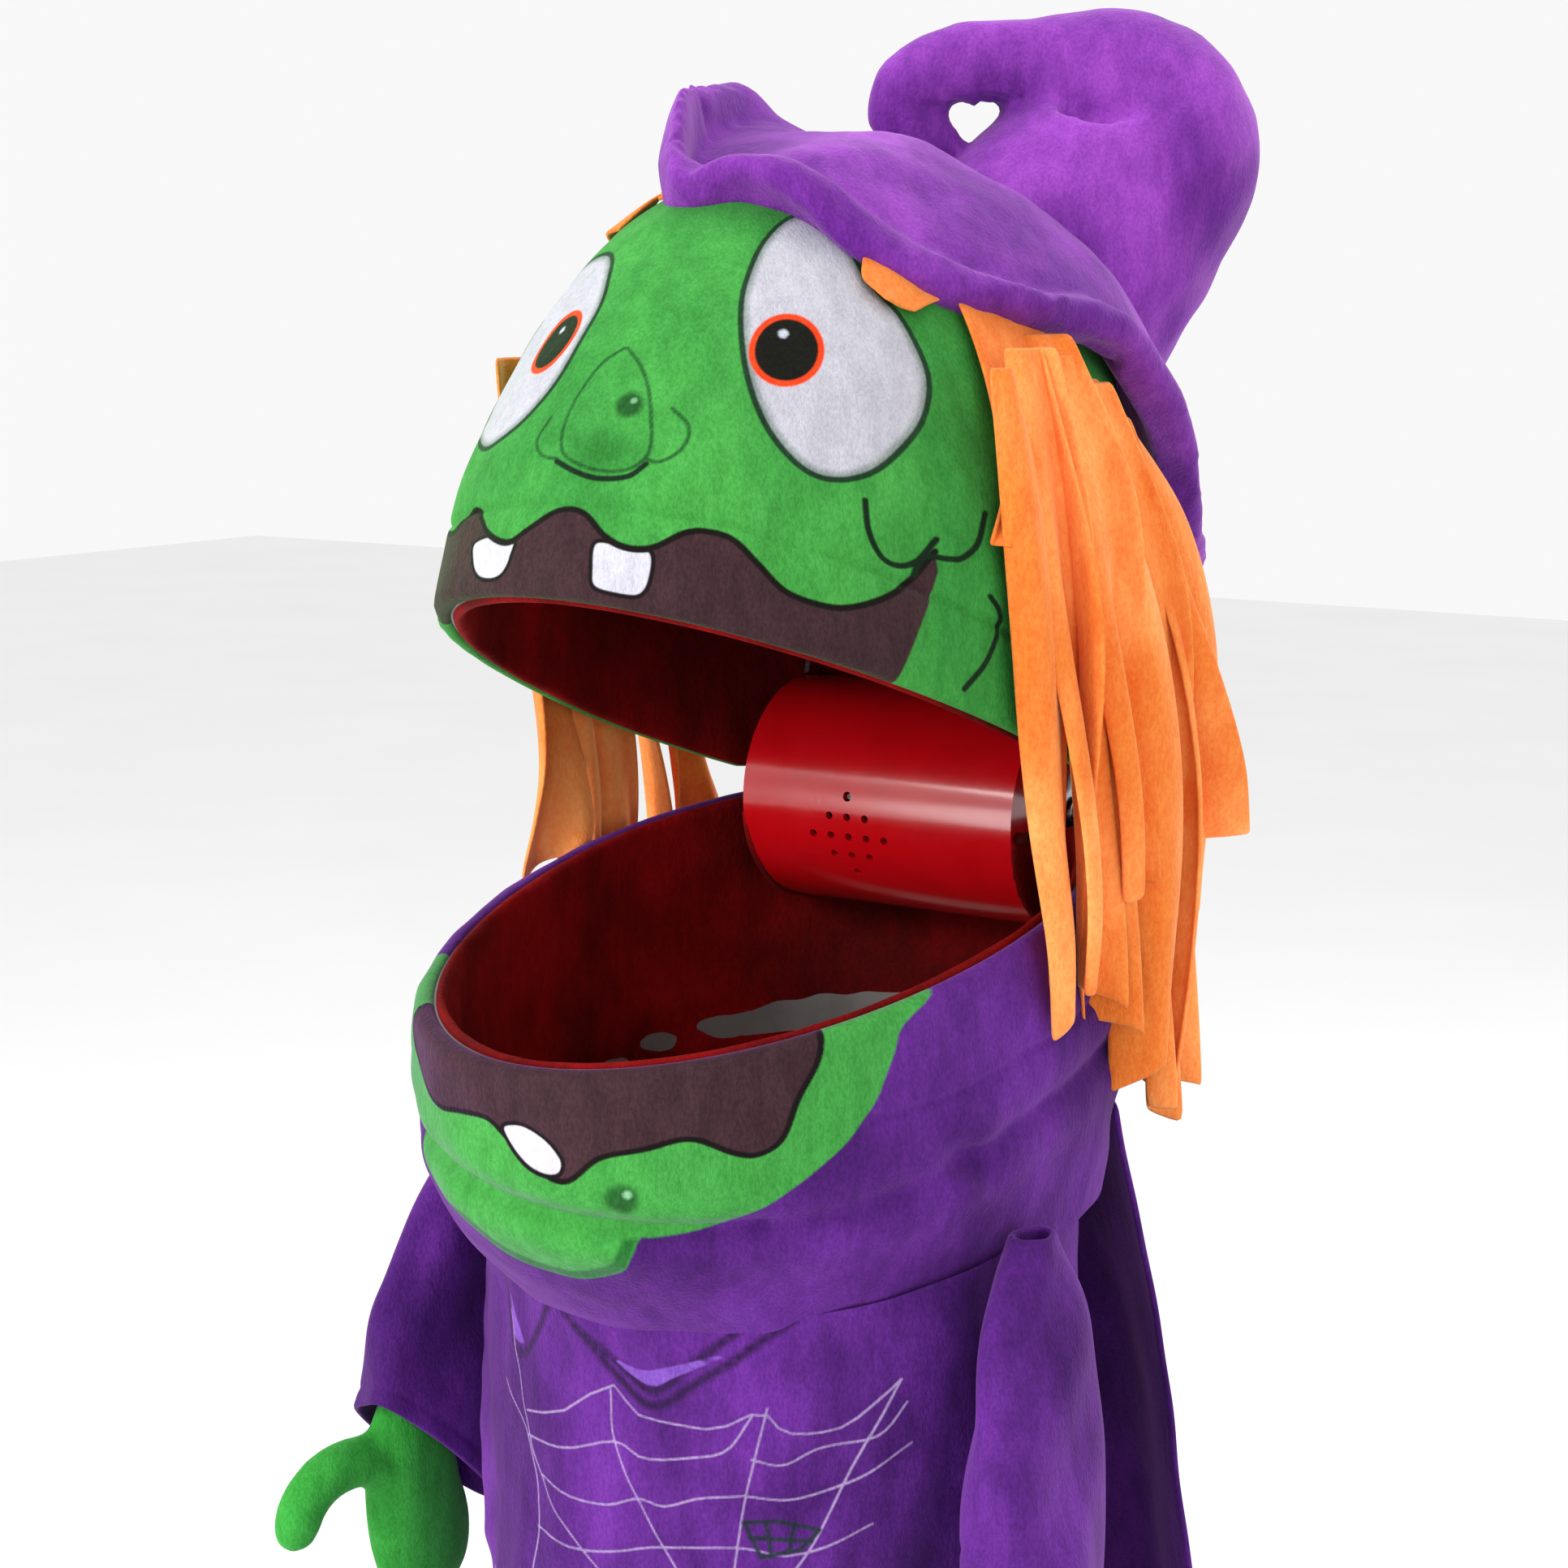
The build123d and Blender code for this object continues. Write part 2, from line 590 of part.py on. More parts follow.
# ---------------------------------------------------------------- hair
# place behind the hinge, lowest point
STRANDS = ((-106, -48), (-84, -73), (-62, -88), (-40, -101), (-18, -98))
HAIR_IN, HAIR_OUT = 117.4, 123.4
HAIR_T = 10.0
BANGS_T = 4.0

for name, inner, outer in (("hair_right", -HAIR_IN, -HAIR_OUT), ("hair_left", HAIR_IN, HAIR_OUT)):
    x_span = (min(inner, outer), max(inner, outer))
    with BuildPart() as hair:
        add(dome(-HAIR_T))
        add(block((min(inner / 2, outer), max(inner / 2, outer)), (-117, -7), (45, 132)), mode=Mode.INTERSECT)
        for place, low in STRANDS:
            add(block(x_span, (place - 10.5, place + 10.5), (low, 62)))
        add(dome(-FIT), mode=Mode.SUBTRACT)
        add(brim(), mode=Mode.SUBTRACT)
    save(hair.part, name)

with BuildPart() as hair_bangs:
    add(dome(-BANGS_T))
    add(block((-80, 80), (-300, -160), (112, 138), HEAD), mode=Mode.INTERSECT)
    add(dome(-FIT), mode=Mode.SUBTRACT)
    add(brim(), mode=Mode.SUBTRACT)
save(hair_bangs.part, "hair_bangs")

# ---------------------------------------------------------------- dress and cape
DRESS_RINGS = ((HEM_Z, BODY_R + 18), (120, BODY_R + 6), (250, BODY_R), (540, BODY_R))
DRESS_T = 3.5
CAPE_T = 5.0


def barrel(grow):
    """Lathe-like body of the dress."""
    with BuildPart() as body:
        for height, radius in DRESS_RINGS:
            with BuildSketch(Plane.XY.offset(height)):
                Circle(radius + grow)
        loft(ruled=True)
    return body.part


with BuildPart() as dress_body:
    add(barrel(0))
    add(barrel(-DRESS_T), mode=Mode.SUBTRACT)
    add(above_jaw_plane(-97.6), mode=Mode.SUBTRACT)
    add(egg_stack(JAW, moved(BOWL_RINGS, -FIT), BOWL_OUT + FIT), mode=Mode.SUBTRACT)
save(dress_body.part, "dress_body")

with BuildPart() as cape:
    for height, place, half in ((492, 116, 74), (300, 118, 108), (60, 146, 140)):
        with BuildSketch(Plane.XY.offset(height)):
            with Locations((0, place)):
                Rectangle(2 * half, CAPE_T)
    loft(ruled=True)
save(cape.part, "cape")

# ---------------------------------------------------------------- arms
SHOULDER = (123, -25, 470)
CUFF = (137, -52, 352)
HAND = ((132, -45, 384, 8, 17), (137, -52, 354, 12, 21), (139, -57, 322, 14, 26), (140, -56, 300, 12, 24),
        (140, -55, 288, 5, 14))
THUMB = ((141, -70, 340, 10), (147, -94, 338, 10), (151, -107, 320, 9))


def mirrored(point, side):
    return (side * point[0], point[1], point[2])


def sleeve_body(side, inset):
    """Flattened cone from the shoulder to the cuff."""
    top = Vector(*mirrored(SHOULDER, side))
    reach = Vector(*mirrored(CUFF, side)) - top
    frame = Plane(origin=top, x_dir=(1, 0, 0), z_dir=reach)
    with BuildPart() as body:
        with BuildSketch(frame):
            Ellipse(10.5 - inset, 22 - inset)
        with BuildSketch(frame.offset(reach.length)):
            Ellipse(21 - inset, 38 - inset)
        loft()
    return body.part


for side, word in ((-1, "right"), (1, "left")):
    with BuildPart() as sleeve:
        add(sleeve_body(side, 0))
        add(sleeve_body(side, 3), mode=Mode.SUBTRACT)
        add(above_jaw_plane(-98), mode=Mode.SUBTRACT)
    save(sleeve.part, f"sleeve_{word}")
    with BuildPart() as hand:
        for x, y, z, half_x, half_y in HAND:
            with BuildSketch(Plane(origin=mirrored((x, y, z), side))):
                Ellipse(half_x, half_y)
        loft()
        for (*low, r_low), (*high, r_high) in zip(THUMB, THUMB[1:]):
            start = Vector(*mirrored(low, side))
            reach = Vector(*mirrored(high, side)) - start
            link = Plane(origin=start, z_dir=reach)
            with BuildSketch(link):
                Circle(r_low)
            with BuildSketch(link.offset(reach.length)):
                Circle(r_high)
            loft()
            with Locations(start + reach):
                Sphere(r_high)
    save(hand.part, f"hand_{word}")
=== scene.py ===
import bpy
import json
import math
import numpy as np
from mathutils import Vector, Matrix


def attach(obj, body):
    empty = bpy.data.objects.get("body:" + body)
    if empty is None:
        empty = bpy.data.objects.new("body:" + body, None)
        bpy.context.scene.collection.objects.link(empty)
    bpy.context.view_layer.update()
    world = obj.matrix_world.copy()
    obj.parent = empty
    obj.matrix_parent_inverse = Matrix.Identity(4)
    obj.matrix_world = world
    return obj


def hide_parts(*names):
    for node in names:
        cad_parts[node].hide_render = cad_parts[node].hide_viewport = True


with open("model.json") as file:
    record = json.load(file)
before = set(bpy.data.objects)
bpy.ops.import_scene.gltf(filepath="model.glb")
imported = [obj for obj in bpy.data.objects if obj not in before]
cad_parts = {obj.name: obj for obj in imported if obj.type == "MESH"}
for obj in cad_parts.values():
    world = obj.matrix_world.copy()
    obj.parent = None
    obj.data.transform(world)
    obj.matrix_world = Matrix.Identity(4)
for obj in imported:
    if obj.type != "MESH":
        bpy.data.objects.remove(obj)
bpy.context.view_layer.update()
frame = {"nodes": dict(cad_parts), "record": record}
NODES = frame["nodes"]

# ------------------------------------------------------------------ camera and light
HINGE = np.array([0.0, 105.0, 600.0])
MM_PER_DEGREE = 1.95      # along the plush, for one degree of turn round the figure
HEAD_TILT, JAW_TILT = -22.0, 11.0


def aim(azimuth, elevation):
    """Unit vectors of a viewpoint: back towards it, right, and up."""
    a, e = math.radians(azimuth), math.radians(elevation)
    back = Vector((math.sin(a) * math.cos(e), -math.cos(a) * math.cos(e), math.sin(e)))
    right = Vector((math.cos(a), math.sin(a), 0))
    return back, right, back.cross(right)


def add_camera():
    back, right, up = aim(34, 9.5)
    data = bpy.data.cameras.new("camera")
    data.lens = 70.43
    data.sensor_width = 36
    data.clip_end = 20
    cam = bpy.data.objects.new("camera", data)
    bpy.context.scene.collection.objects.link(cam)
    place = Vector(HINGE / 1000) + back * 1.2 - right * 0.0584 + up * 0.0051
    cam.matrix_world = Matrix.Translation(place) @ Matrix((right, up, back)).transposed().to_4x4()
    bpy.context.scene.camera = cam


def add_light(name, place, target, size, power, colour=(1, 1, 1)):
    data = bpy.data.lights.new(name, "AREA")
    data.shape = "DISK"
    data.size = size
    data.energy = power
    data.color = colour
    lamp = bpy.data.objects.new(name, data)
    lamp.location = place
    lamp.rotation_euler = (Vector(target) - Vector(place)).to_track_quat("-Z", "Y").to_euler()
    bpy.context.scene.collection.objects.link(lamp)


add_camera()
add_light("key", (-0.9, -1.9, 1.7), (0, 0, 0.6), 0.9, 26, (1.0, 0.98, 0.95))
add_light("fill", (2.1, -1.3, 1.1), (0, 0, 0.5), 1.4, 7)
add_light("top", (0.1, 0.3, 2.4), (0, 0, 0.5), 1.2, 13)
add_light("low", (-0.7, -2.0, 0.45), (0, 0, 0.35), 1.0, 12)
add_light("rim", (0.6, 2.0, 1.3), (0, 0, 0.6), 1.2, 6)
world = bpy.data.worlds.new("studio")
world.use_nodes = True
world.node_tree.nodes["Background"].inputs[0].default_value = (1.0, 1.0, 1.0, 1)
world.node_tree.nodes["Background"].inputs[1].default_value = 0.94
bpy.context.scene.world = world
bpy.context.scene.view_settings.view_transform = "Standard"


# ------------------------------------------------------------------ materials
def rgb(code):
    """Linear colour from an sRGB hex code."""
    parts = [int(code[i:i + 2], 16) / 255 for i in (0, 2, 4)]
    return tuple(c / 12.92 if c <= 0.04045 else ((c + 0.055) / 1.055) ** 2.4 for c in parts) + (1.0,)


class Nodes:
    """Small helper that builds a node tree by hand."""

    def __init__(self, name):
        self.mat = bpy.data.materials.new(name)
        self.mat.use_nodes = True
        self.tree = self.mat.node_tree
        self.bsdf = self.tree.nodes["Principled BSDF"]
        self.where = self.add("ShaderNodeTexCoord").outputs["Object"]

    def add(self, kind, **settings):
        made = self.tree.nodes.new(kind)
        for key, value in settings.items():
            setattr(made, key, value)
        return made

    def link(self, source, target):
        self.tree.links.new(source, target)

    def noise(self, scale, detail=2.0, stretch=(1, 1, 1), rough=0.55):
        spot = self.add("ShaderNodeMapping")
        spot.inputs["Scale"].default_value = stretch
        self.link(self.where, spot.inputs["Vector"])
        made = self.add("ShaderNodeTexNoise")
        made.inputs["Scale"].default_value = scale
        made.inputs["Detail"].default_value = detail
        made.inputs["Roughness"].default_value = rough
        self.link(spot.outputs["Vector"], made.inputs["Vector"])
        return made.outputs["Fac"]

    def ranged(self, value, low, high, to_low=0.0, to_high=1.0):
        made = self.add("ShaderNodeMapRange", interpolation_type="SMOOTHSTEP")
        for key, number in (("From Min", low), ("From Max", high), ("To Min", to_low), ("To Max", to_high)):
            made.inputs[key].default_value = number
        self.link(value, made.inputs["Value"])
        return made.outputs["Result"]

    def attribute(self, name):
        return self.add("ShaderNodeAttribute", attribute_name=name).outputs["Fac"]

    def mix(self, fac, a, b, blend="MIX"):
        made = self.add("ShaderNodeMix", data_type="RGBA", blend_type=blend)
        for socket, value in ((made.inputs[0], fac), (made.inputs[6], a), (made.inputs[7], b)):
            if isinstance(value, (int, float, tuple)):
                socket.default_value = value
            else:
                self.link(value, socket)
        return made.outputs[2]

    def math(self, kind, a, b):
        made = self.add("ShaderNodeMath", operation=kind)
        for socket, value in ((made.inputs[0], a), (made.inputs[1], b)):
            if isinstance(value, (int, float)):
                socket.default_value = value
            else:
                self.link(value, socket)
        return made.outputs[0]

    def bump(self, height, strength, distance, under=None):
        made = self.add("ShaderNodeBump")
        made.inputs["Strength"].default_value = strength
        made.inputs["Distance"].default_value = distance
        self.link(height, made.inputs["Height"])
        if under:
            self.link(under, made.inputs["Normal"])
        return made.outputs["Normal"]

    def finish(self, colour, normal=None, **values):
        self.link(colour, self.bsdf.inputs["Base Color"])
        if normal:
            self.link(normal, self.bsdf.inputs["Normal"])
        for key, value in values.items():
            self.bsdf.inputs[key.replace("_", " ")].default_value = value
        return self.mat


def plush(name, light, dark, sheen, prints=(), sheen_weight=0.55, pile=1.0):
    """Short pile: blotchy direction changes, fine fibre grain, sheen; prints are (attribute, colour, edge in mm)."""
    n = Nodes(name)
    brushed = n.ranged(n.noise(16, 3.0, (1, 1, 0.7)), 0.35, 0.68)
    colour = n.mix(brushed, rgb(dark), rgb(light))
    for attribute, code, edge, *half in prints:
        value = n.attribute(attribute)
        if half:
            value = n.math("SUBTRACT", n.math("ABSOLUTE", value, 0.0), half[0])
        mask = n.ranged(value, -edge, edge, 1.0, 0.0)
        colour = n.mix(mask, colour, rgb(code))
    fibre = n.noise(900 * pile, 2.0, (1, 1, 0.55), 0.7)
    streak = n.noise(170, 2.0, (1, 1, 0.35))
    colour = n.mix(n.ranged(fibre, 0.3, 0.7, 0.0, 0.35), colour, (0.0, 0.0, 0.0, 1), "SOFT_LIGHT")
    colour = n.mix(n.ranged(streak, 0.35, 0.65, 0.0, 0.22), colour, (0.02, 0.02, 0.02, 1), "SOFT_LIGHT")
    normal = n.bump(fibre, 0.55, 0.0009, n.bump(streak, 0.35, 0.0012))
    return n.finish(colour, normal, Roughness=0.85, Sheen_Weight=sheen_weight, Sheen_Roughness=0.38,
                    Sheen_Tint=rgb(sheen), Specular_IOR_Level=0.12)


def plastic(name, code, rough, grain=0.12, coat=0.0):
    n = Nodes(name)
    wear = n.noise(60, 4.0)
    colour = n.mix(n.ranged(wear, 0.4, 0.75, 0.0, 0.3), rgb(code), rgb("141414"), "SOFT_LIGHT")
    n.link(n.ranged(n.noise(25, 3.0), 0.3, 0.75, rough * 0.8, rough * 1.35), n.bsdf.inputs["Roughness"])
    normal = n.bump(n.noise(420, 2.0), grain, 0.0006)
    return n.finish(colour, normal, Coat_Weight=coat, Coat_Roughness=0.12, Specular_IOR_Level=0.5)


def metal(name, code, rough):
    n = Nodes(name)
    brushed = n.noise(300, 3.0, (0.08, 1, 1))
    colour = n.mix(n.ranged(brushed, 0.3, 0.7), rgb(code), rgb("8C8C90"))
    n.link(n.ranged(brushed, 0.3, 0.7, rough * 0.7, rough * 1.3), n.bsdf.inputs["Roughness"])
    return n.finish(colour, n.bump(brushed, 0.1, 0.0003), Metallic=1.0)


FINISHES = {
    "red_plastic": plastic("red_plastic", "D20A16", 0.2, 0.06, 0.8),
    "grey_plastic": plastic("grey_plastic", "6E6E6C", 0.5),
    "black_plastic": plastic("black_plastic", "1A1A1B", 0.45),
    "board": plastic("board", "14502A", 0.35),
    "tinted_lens": plastic("tinted_lens", "1C0204", 0.08, 0.0, 1.0),
    "cell_sleeve": plastic("cell_sleeve", "2B2B30", 0.25),
    "foot_rubber": plastic("foot_rubber", "161616", 0.85, 0.5),
    "paper_cone": plastic("paper_cone", "1E1D1B", 0.9, 0.6),
    "card": plastic("card", "9A7A50", 0.9, 0.6),
    "steel": metal("steel", "B8B8BC", 0.3),
    "iron": metal("iron", "3A3A3C", 0.6),
    "brass": metal("brass", "B08A3A", 0.28),
}
for part in frame["record"]["subparts"]:
    if part["material_slot"] in FINISHES:
        mesh = NODES[part["node"]].data
        mesh.materials.clear()
        mesh.materials.append(FINISHES[part["material_slot"]])


# ------------------------------------------------------------------ shapes
def tilted(points, tilt):
    """Points of a frame tilted about the hinge, in mm, put in the row frame."""
    t = math.radians(tilt)
    x, y, z = np.moveaxis(np.asarray(points, float), -1, 0)
    return np.stack([x, y * math.cos(t) - z * math.sin(t), y * math.sin(t) + z * math.cos(t)], -1) + HINGE


def glide(x, xs, ys, calm=True):
    """Smooth curve through points, as a cubic with slopes from the neighbours; calm keeps it from overshooting."""
    xs, ys = np.asarray(xs, float), np.asarray(ys, float)
    slopes = np.gradient(ys, xs, axis=0)
    if calm:
        run = np.diff(xs).reshape((-1,) + (1,) * (ys.ndim - 1))
        rise = np.diff(ys, axis=0) / run
        before = np.concatenate([rise[:1], rise])
        after = np.concatenate([rise, rise[-1:]])
        most = 3 * np.minimum(np.abs(before), np.abs(after)) * (before * after > 0)
        slopes = np.clip(slopes, -most, most)
    x = np.clip(x, xs[0], xs[-1])
    i = np.clip(np.searchsorted(xs, x, side="right") - 1, 0, len(xs) - 2)
    width = xs[i + 1] - xs[i]
    t = (x - xs[i]) / width
    if ys.ndim > 1:
        t, width = t[..., None], width[..., None]
    return ((2 * t**3 - 3 * t**2 + 1) * ys[i] + (t**3 - 2 * t**2 + t) * width * slopes[i]
            + (-2 * t**3 + 3 * t**2) * ys[i + 1] + (t**3 - t**2) * width * slopes[i + 1])


def through(points, count, closed=False):
    """Smooth line through points, resampled."""
    pts = [tuple(p) for p in points]
    if closed:
        pts = [pts[-1]] + pts + pts[:2]
    places = np.arange(len(pts), dtype=float)
    start, end = (1, len(pts) - 2) if closed else (0, len(pts) - 1)
    return glide(np.linspace(start, end, count), places, pts, False)


def step(x, low, high):
    t = np.clip((x - low) / (high - low), 0, 1)
    return t * t * (3 - 2 * t)


def waves(points, length, seed):
    """Smooth irregular field between about -1 and 1; length is in mm."""
    rng = np.random.default_rng(seed)
    total = 0
    for _ in range(5):
        direction = rng.normal(size=3)
        direction *= rng.uniform(0.7, 1.5) / np.linalg.norm(direction)
        total = total + np.sin(points @ direction * 2 * math.pi / length + rng.uniform(0, 6.28))
    return total / 3


def build(name, grid, wrap=False, caps=(False, False)):
    """Mesh object from a grid of points in mm; wrap closes it across, caps close its first and last rows."""
    rows, cols = grid.shape[:2]
    verts = [grid.reshape(-1, 3)]
    faces = []
    for i in range(rows - 1):
        for j in range(cols if wrap else cols - 1):
            k = (j + 1) % cols
            faces.append((i * cols + j, i * cols + k, (i + 1) * cols + k, (i + 1) * cols + j))
    total = rows * cols
    for closed, row in zip(caps, (0, rows - 1)):
        if closed:
            verts.append(grid[row].mean(0)[None])
            for j in range(cols):
                k = (j + 1) % cols
                pair = (row * cols + k, row * cols + j) if row == 0 else (row * cols + j, row * cols + k)
                faces.append((*pair, total))
            total += 1
    mesh = bpy.data.meshes.new(name)
    mesh.from_pydata((np.concatenate(verts) / 1000).tolist(), [], faces)
    obj = bpy.data.objects.new(name, mesh)
    bpy.context.scene.collection.objects.link(obj)
    return smooth(obj)


def smooth(obj):
    obj.data.polygons.foreach_set("use_smooth", [True] * len(obj.data.polygons))
    return obj


def mark(obj, name, values):
    """Per-point value that a material reads; missing cap points repeat the last value."""
    values = np.asarray(values, np.float32).ravel()
    count = len(obj.data.vertices)
    values = np.concatenate([values, np.full(max(0, count - len(values)), values[-1])])[:count]
    obj.data.attributes.new(name, "FLOAT", "POINT").data.foreach_set("value", values.astype(np.float32))


def line_distance(u, v, points):
    """Distance of (u, v) from a polyline."""
    best = np.full(u.shape, 1e9)
    for (au, av), (bu, bv) in zip(points[:-1], points[1:]):
        du, dv = bu - au, bv - av
        t = np.clip(((u - au) * du + (v - av) * dv) / (du * du + dv * dv + 1e-9), 0, 1)
        best = np.minimum(best, np.hypot(u - au - t * du, v - av - t * dv))
    return best


def shape_distance(u, v, points):
    """Signed distance from a closed outline, negative inside."""
    inside = np.zeros(u.shape, bool)
    loop = list(points) + [points[0]]
    for (au, av), (bu, bv) in zip(loop[:-1], loop[1:]):
        crosses = (av > v) != (bv > v)
        at = au + (v - av) * (bu - au) / (bv - av if bv != av else 1e-9)
        inside ^= crosses & (u < at)
    d = line_distance(u, v, loop)
    return np.where(inside, -d, d)


def dress_up(obj, body, slot, *nodes, mat=None, subdivide=1, thick=0.0):
    """Last steps of a piece: material, modifiers, body and the CAD nodes it stands for; slot is not used."""
    if mat:
        obj.data.materials.append(mat)
    if thick:
        wall = obj.modifiers.new("thickness", "SOLIDIFY")
        wall.thickness = thick / 1000
        wall.offset = 0
    if subdivide:
        obj.modifiers.new("smooth", "SUBSURF").levels = subdivide
        obj.modifiers["smooth"].render_levels = subdivide
    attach(obj, body)
    if nodes:
        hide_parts(*nodes)
    return obj


# ------------------------------------------------------------------ plush covers of the head and the jaw
MOUTH = -105.0
HEAD_RINGS = ((-3, 109, -269, 30), (1.5, 110, -270, 30), (40, 111, -271, 34), (80, 106, -263, 36), (120, 95,
        -248, 34),
              (150, 80, -229, 28), (174, 62, -203, 18), (188, 45, -178, 4), (195, 26, -150, -30), (198, 4,
              -115, -80))
JAW_RINGS = ((-112, 112, -238, -20), (-97, 114, -250, -10), (-70, 117, -268, 14), (-35, 116, -274, 30), (-1.5,
        110, -270, 30), (3, 109, -269, 30))
BOWL_RINGS = ((-99, 60, -200, -60), (-97.6, 88, -226, -40), (-70, 98, -247, -3), (-35, 101, -259, 17), (-1.5,
        99, -259, 19), (3, 99, -259, 19))


def columns(low, high, rows):
    """Heights from a lower edge that may differ per turn up to a level top; rows is a count or shares from 0 to 1."""
    share = (np.linspace(0, 1, rows) if isinstance(rows, int) else rows)[:, None]
    return low[None, :] + (high - low)[None, :] * share


def egg_grid(rings, heights, turns, grow):
    """Points round an egg-shaped stack; a turn of 0 is the front, 90 the figure's left."""
    table = np.array(rings, float)
    at = glide(heights, table[:, 0], table[:, 1:])
    turn = np.radians(np.atleast_2d(turns))
    grow = np.broadcast_to(grow if np.ndim(grow) == 2 else np.reshape(grow, (-1, 1)), heights.shape)
    depth = np.where(np.cos(turn) > 0, MOUTH - at[..., 1], at[..., 2] - MOUTH) + grow
    return np.stack([(at[..., 0] + grow) * np.sin(turn), MOUTH - depth * np.cos(turn), heights], -1)


def hug_housing(points, radius):
    """Fabric that would cross the hinge housing lies over it instead."""
    rel = points - HINGE
    r = np.hypot(rel[..., 1], rel[..., 2]) + 1e-6
    push = np.clip(radius - r, 0, None) * step(-np.abs(rel[..., 0]), -70, -61)
    out = points.copy()
    out[..., 1] += rel[..., 1] / r * push
    out[..., 2] += rel[..., 2] / r * push
    return out


def spread(*spans):
    """Turns from -180 to 180 degrees, as (end, step) spans: fine where something is printed."""
    parts, start = [], -180.0
    for end, size in spans:
        parts.append(np.arange(start, end - 1e-6, size))
        start = end
    return np.concatenate(parts)


TURNS = np.arange(-180, 180, 1.5)
HEAD_TURNS = spread((-52, 1.6), (-26, 0.7), (24, 0.42), (44, 0.6), (76, 0.42), (180, 1.6))
JAW_TURNS = spread((-52, 1.6), (64, 0.5), (180, 1.6))
DRESS_TURNS = spread((-36, 2.0), (72, 0.33), (180, 2.0))
LIP = ((5, -6.6), (1.5, -6.2), (0.3, -4.8), (0.0, -3.0), (0.7, -1.2), (2.6, -0.2))


def head_low_edge(turns):
    """Lower edge of the head: level in front, raised behind the hinge so that the mouth can open."""
    y = MOUTH - np.where(np.cos(np.radians(turns)) > 0, 165, 137) * np.cos(np.radians(turns))
    return np.clip(11 + 0.66 * y, 0, None) * step(y, -24, 0)


def flat_uv(turns, heights):
    """Print coordinates in mm: along the turn and up."""
    return np.broadcast_to(turns[None, :] * MM_PER_DEGREE, heights.shape), heights


def in_mm(points):
    return [(u * MM_PER_DEGREE, v) for u, v in points]


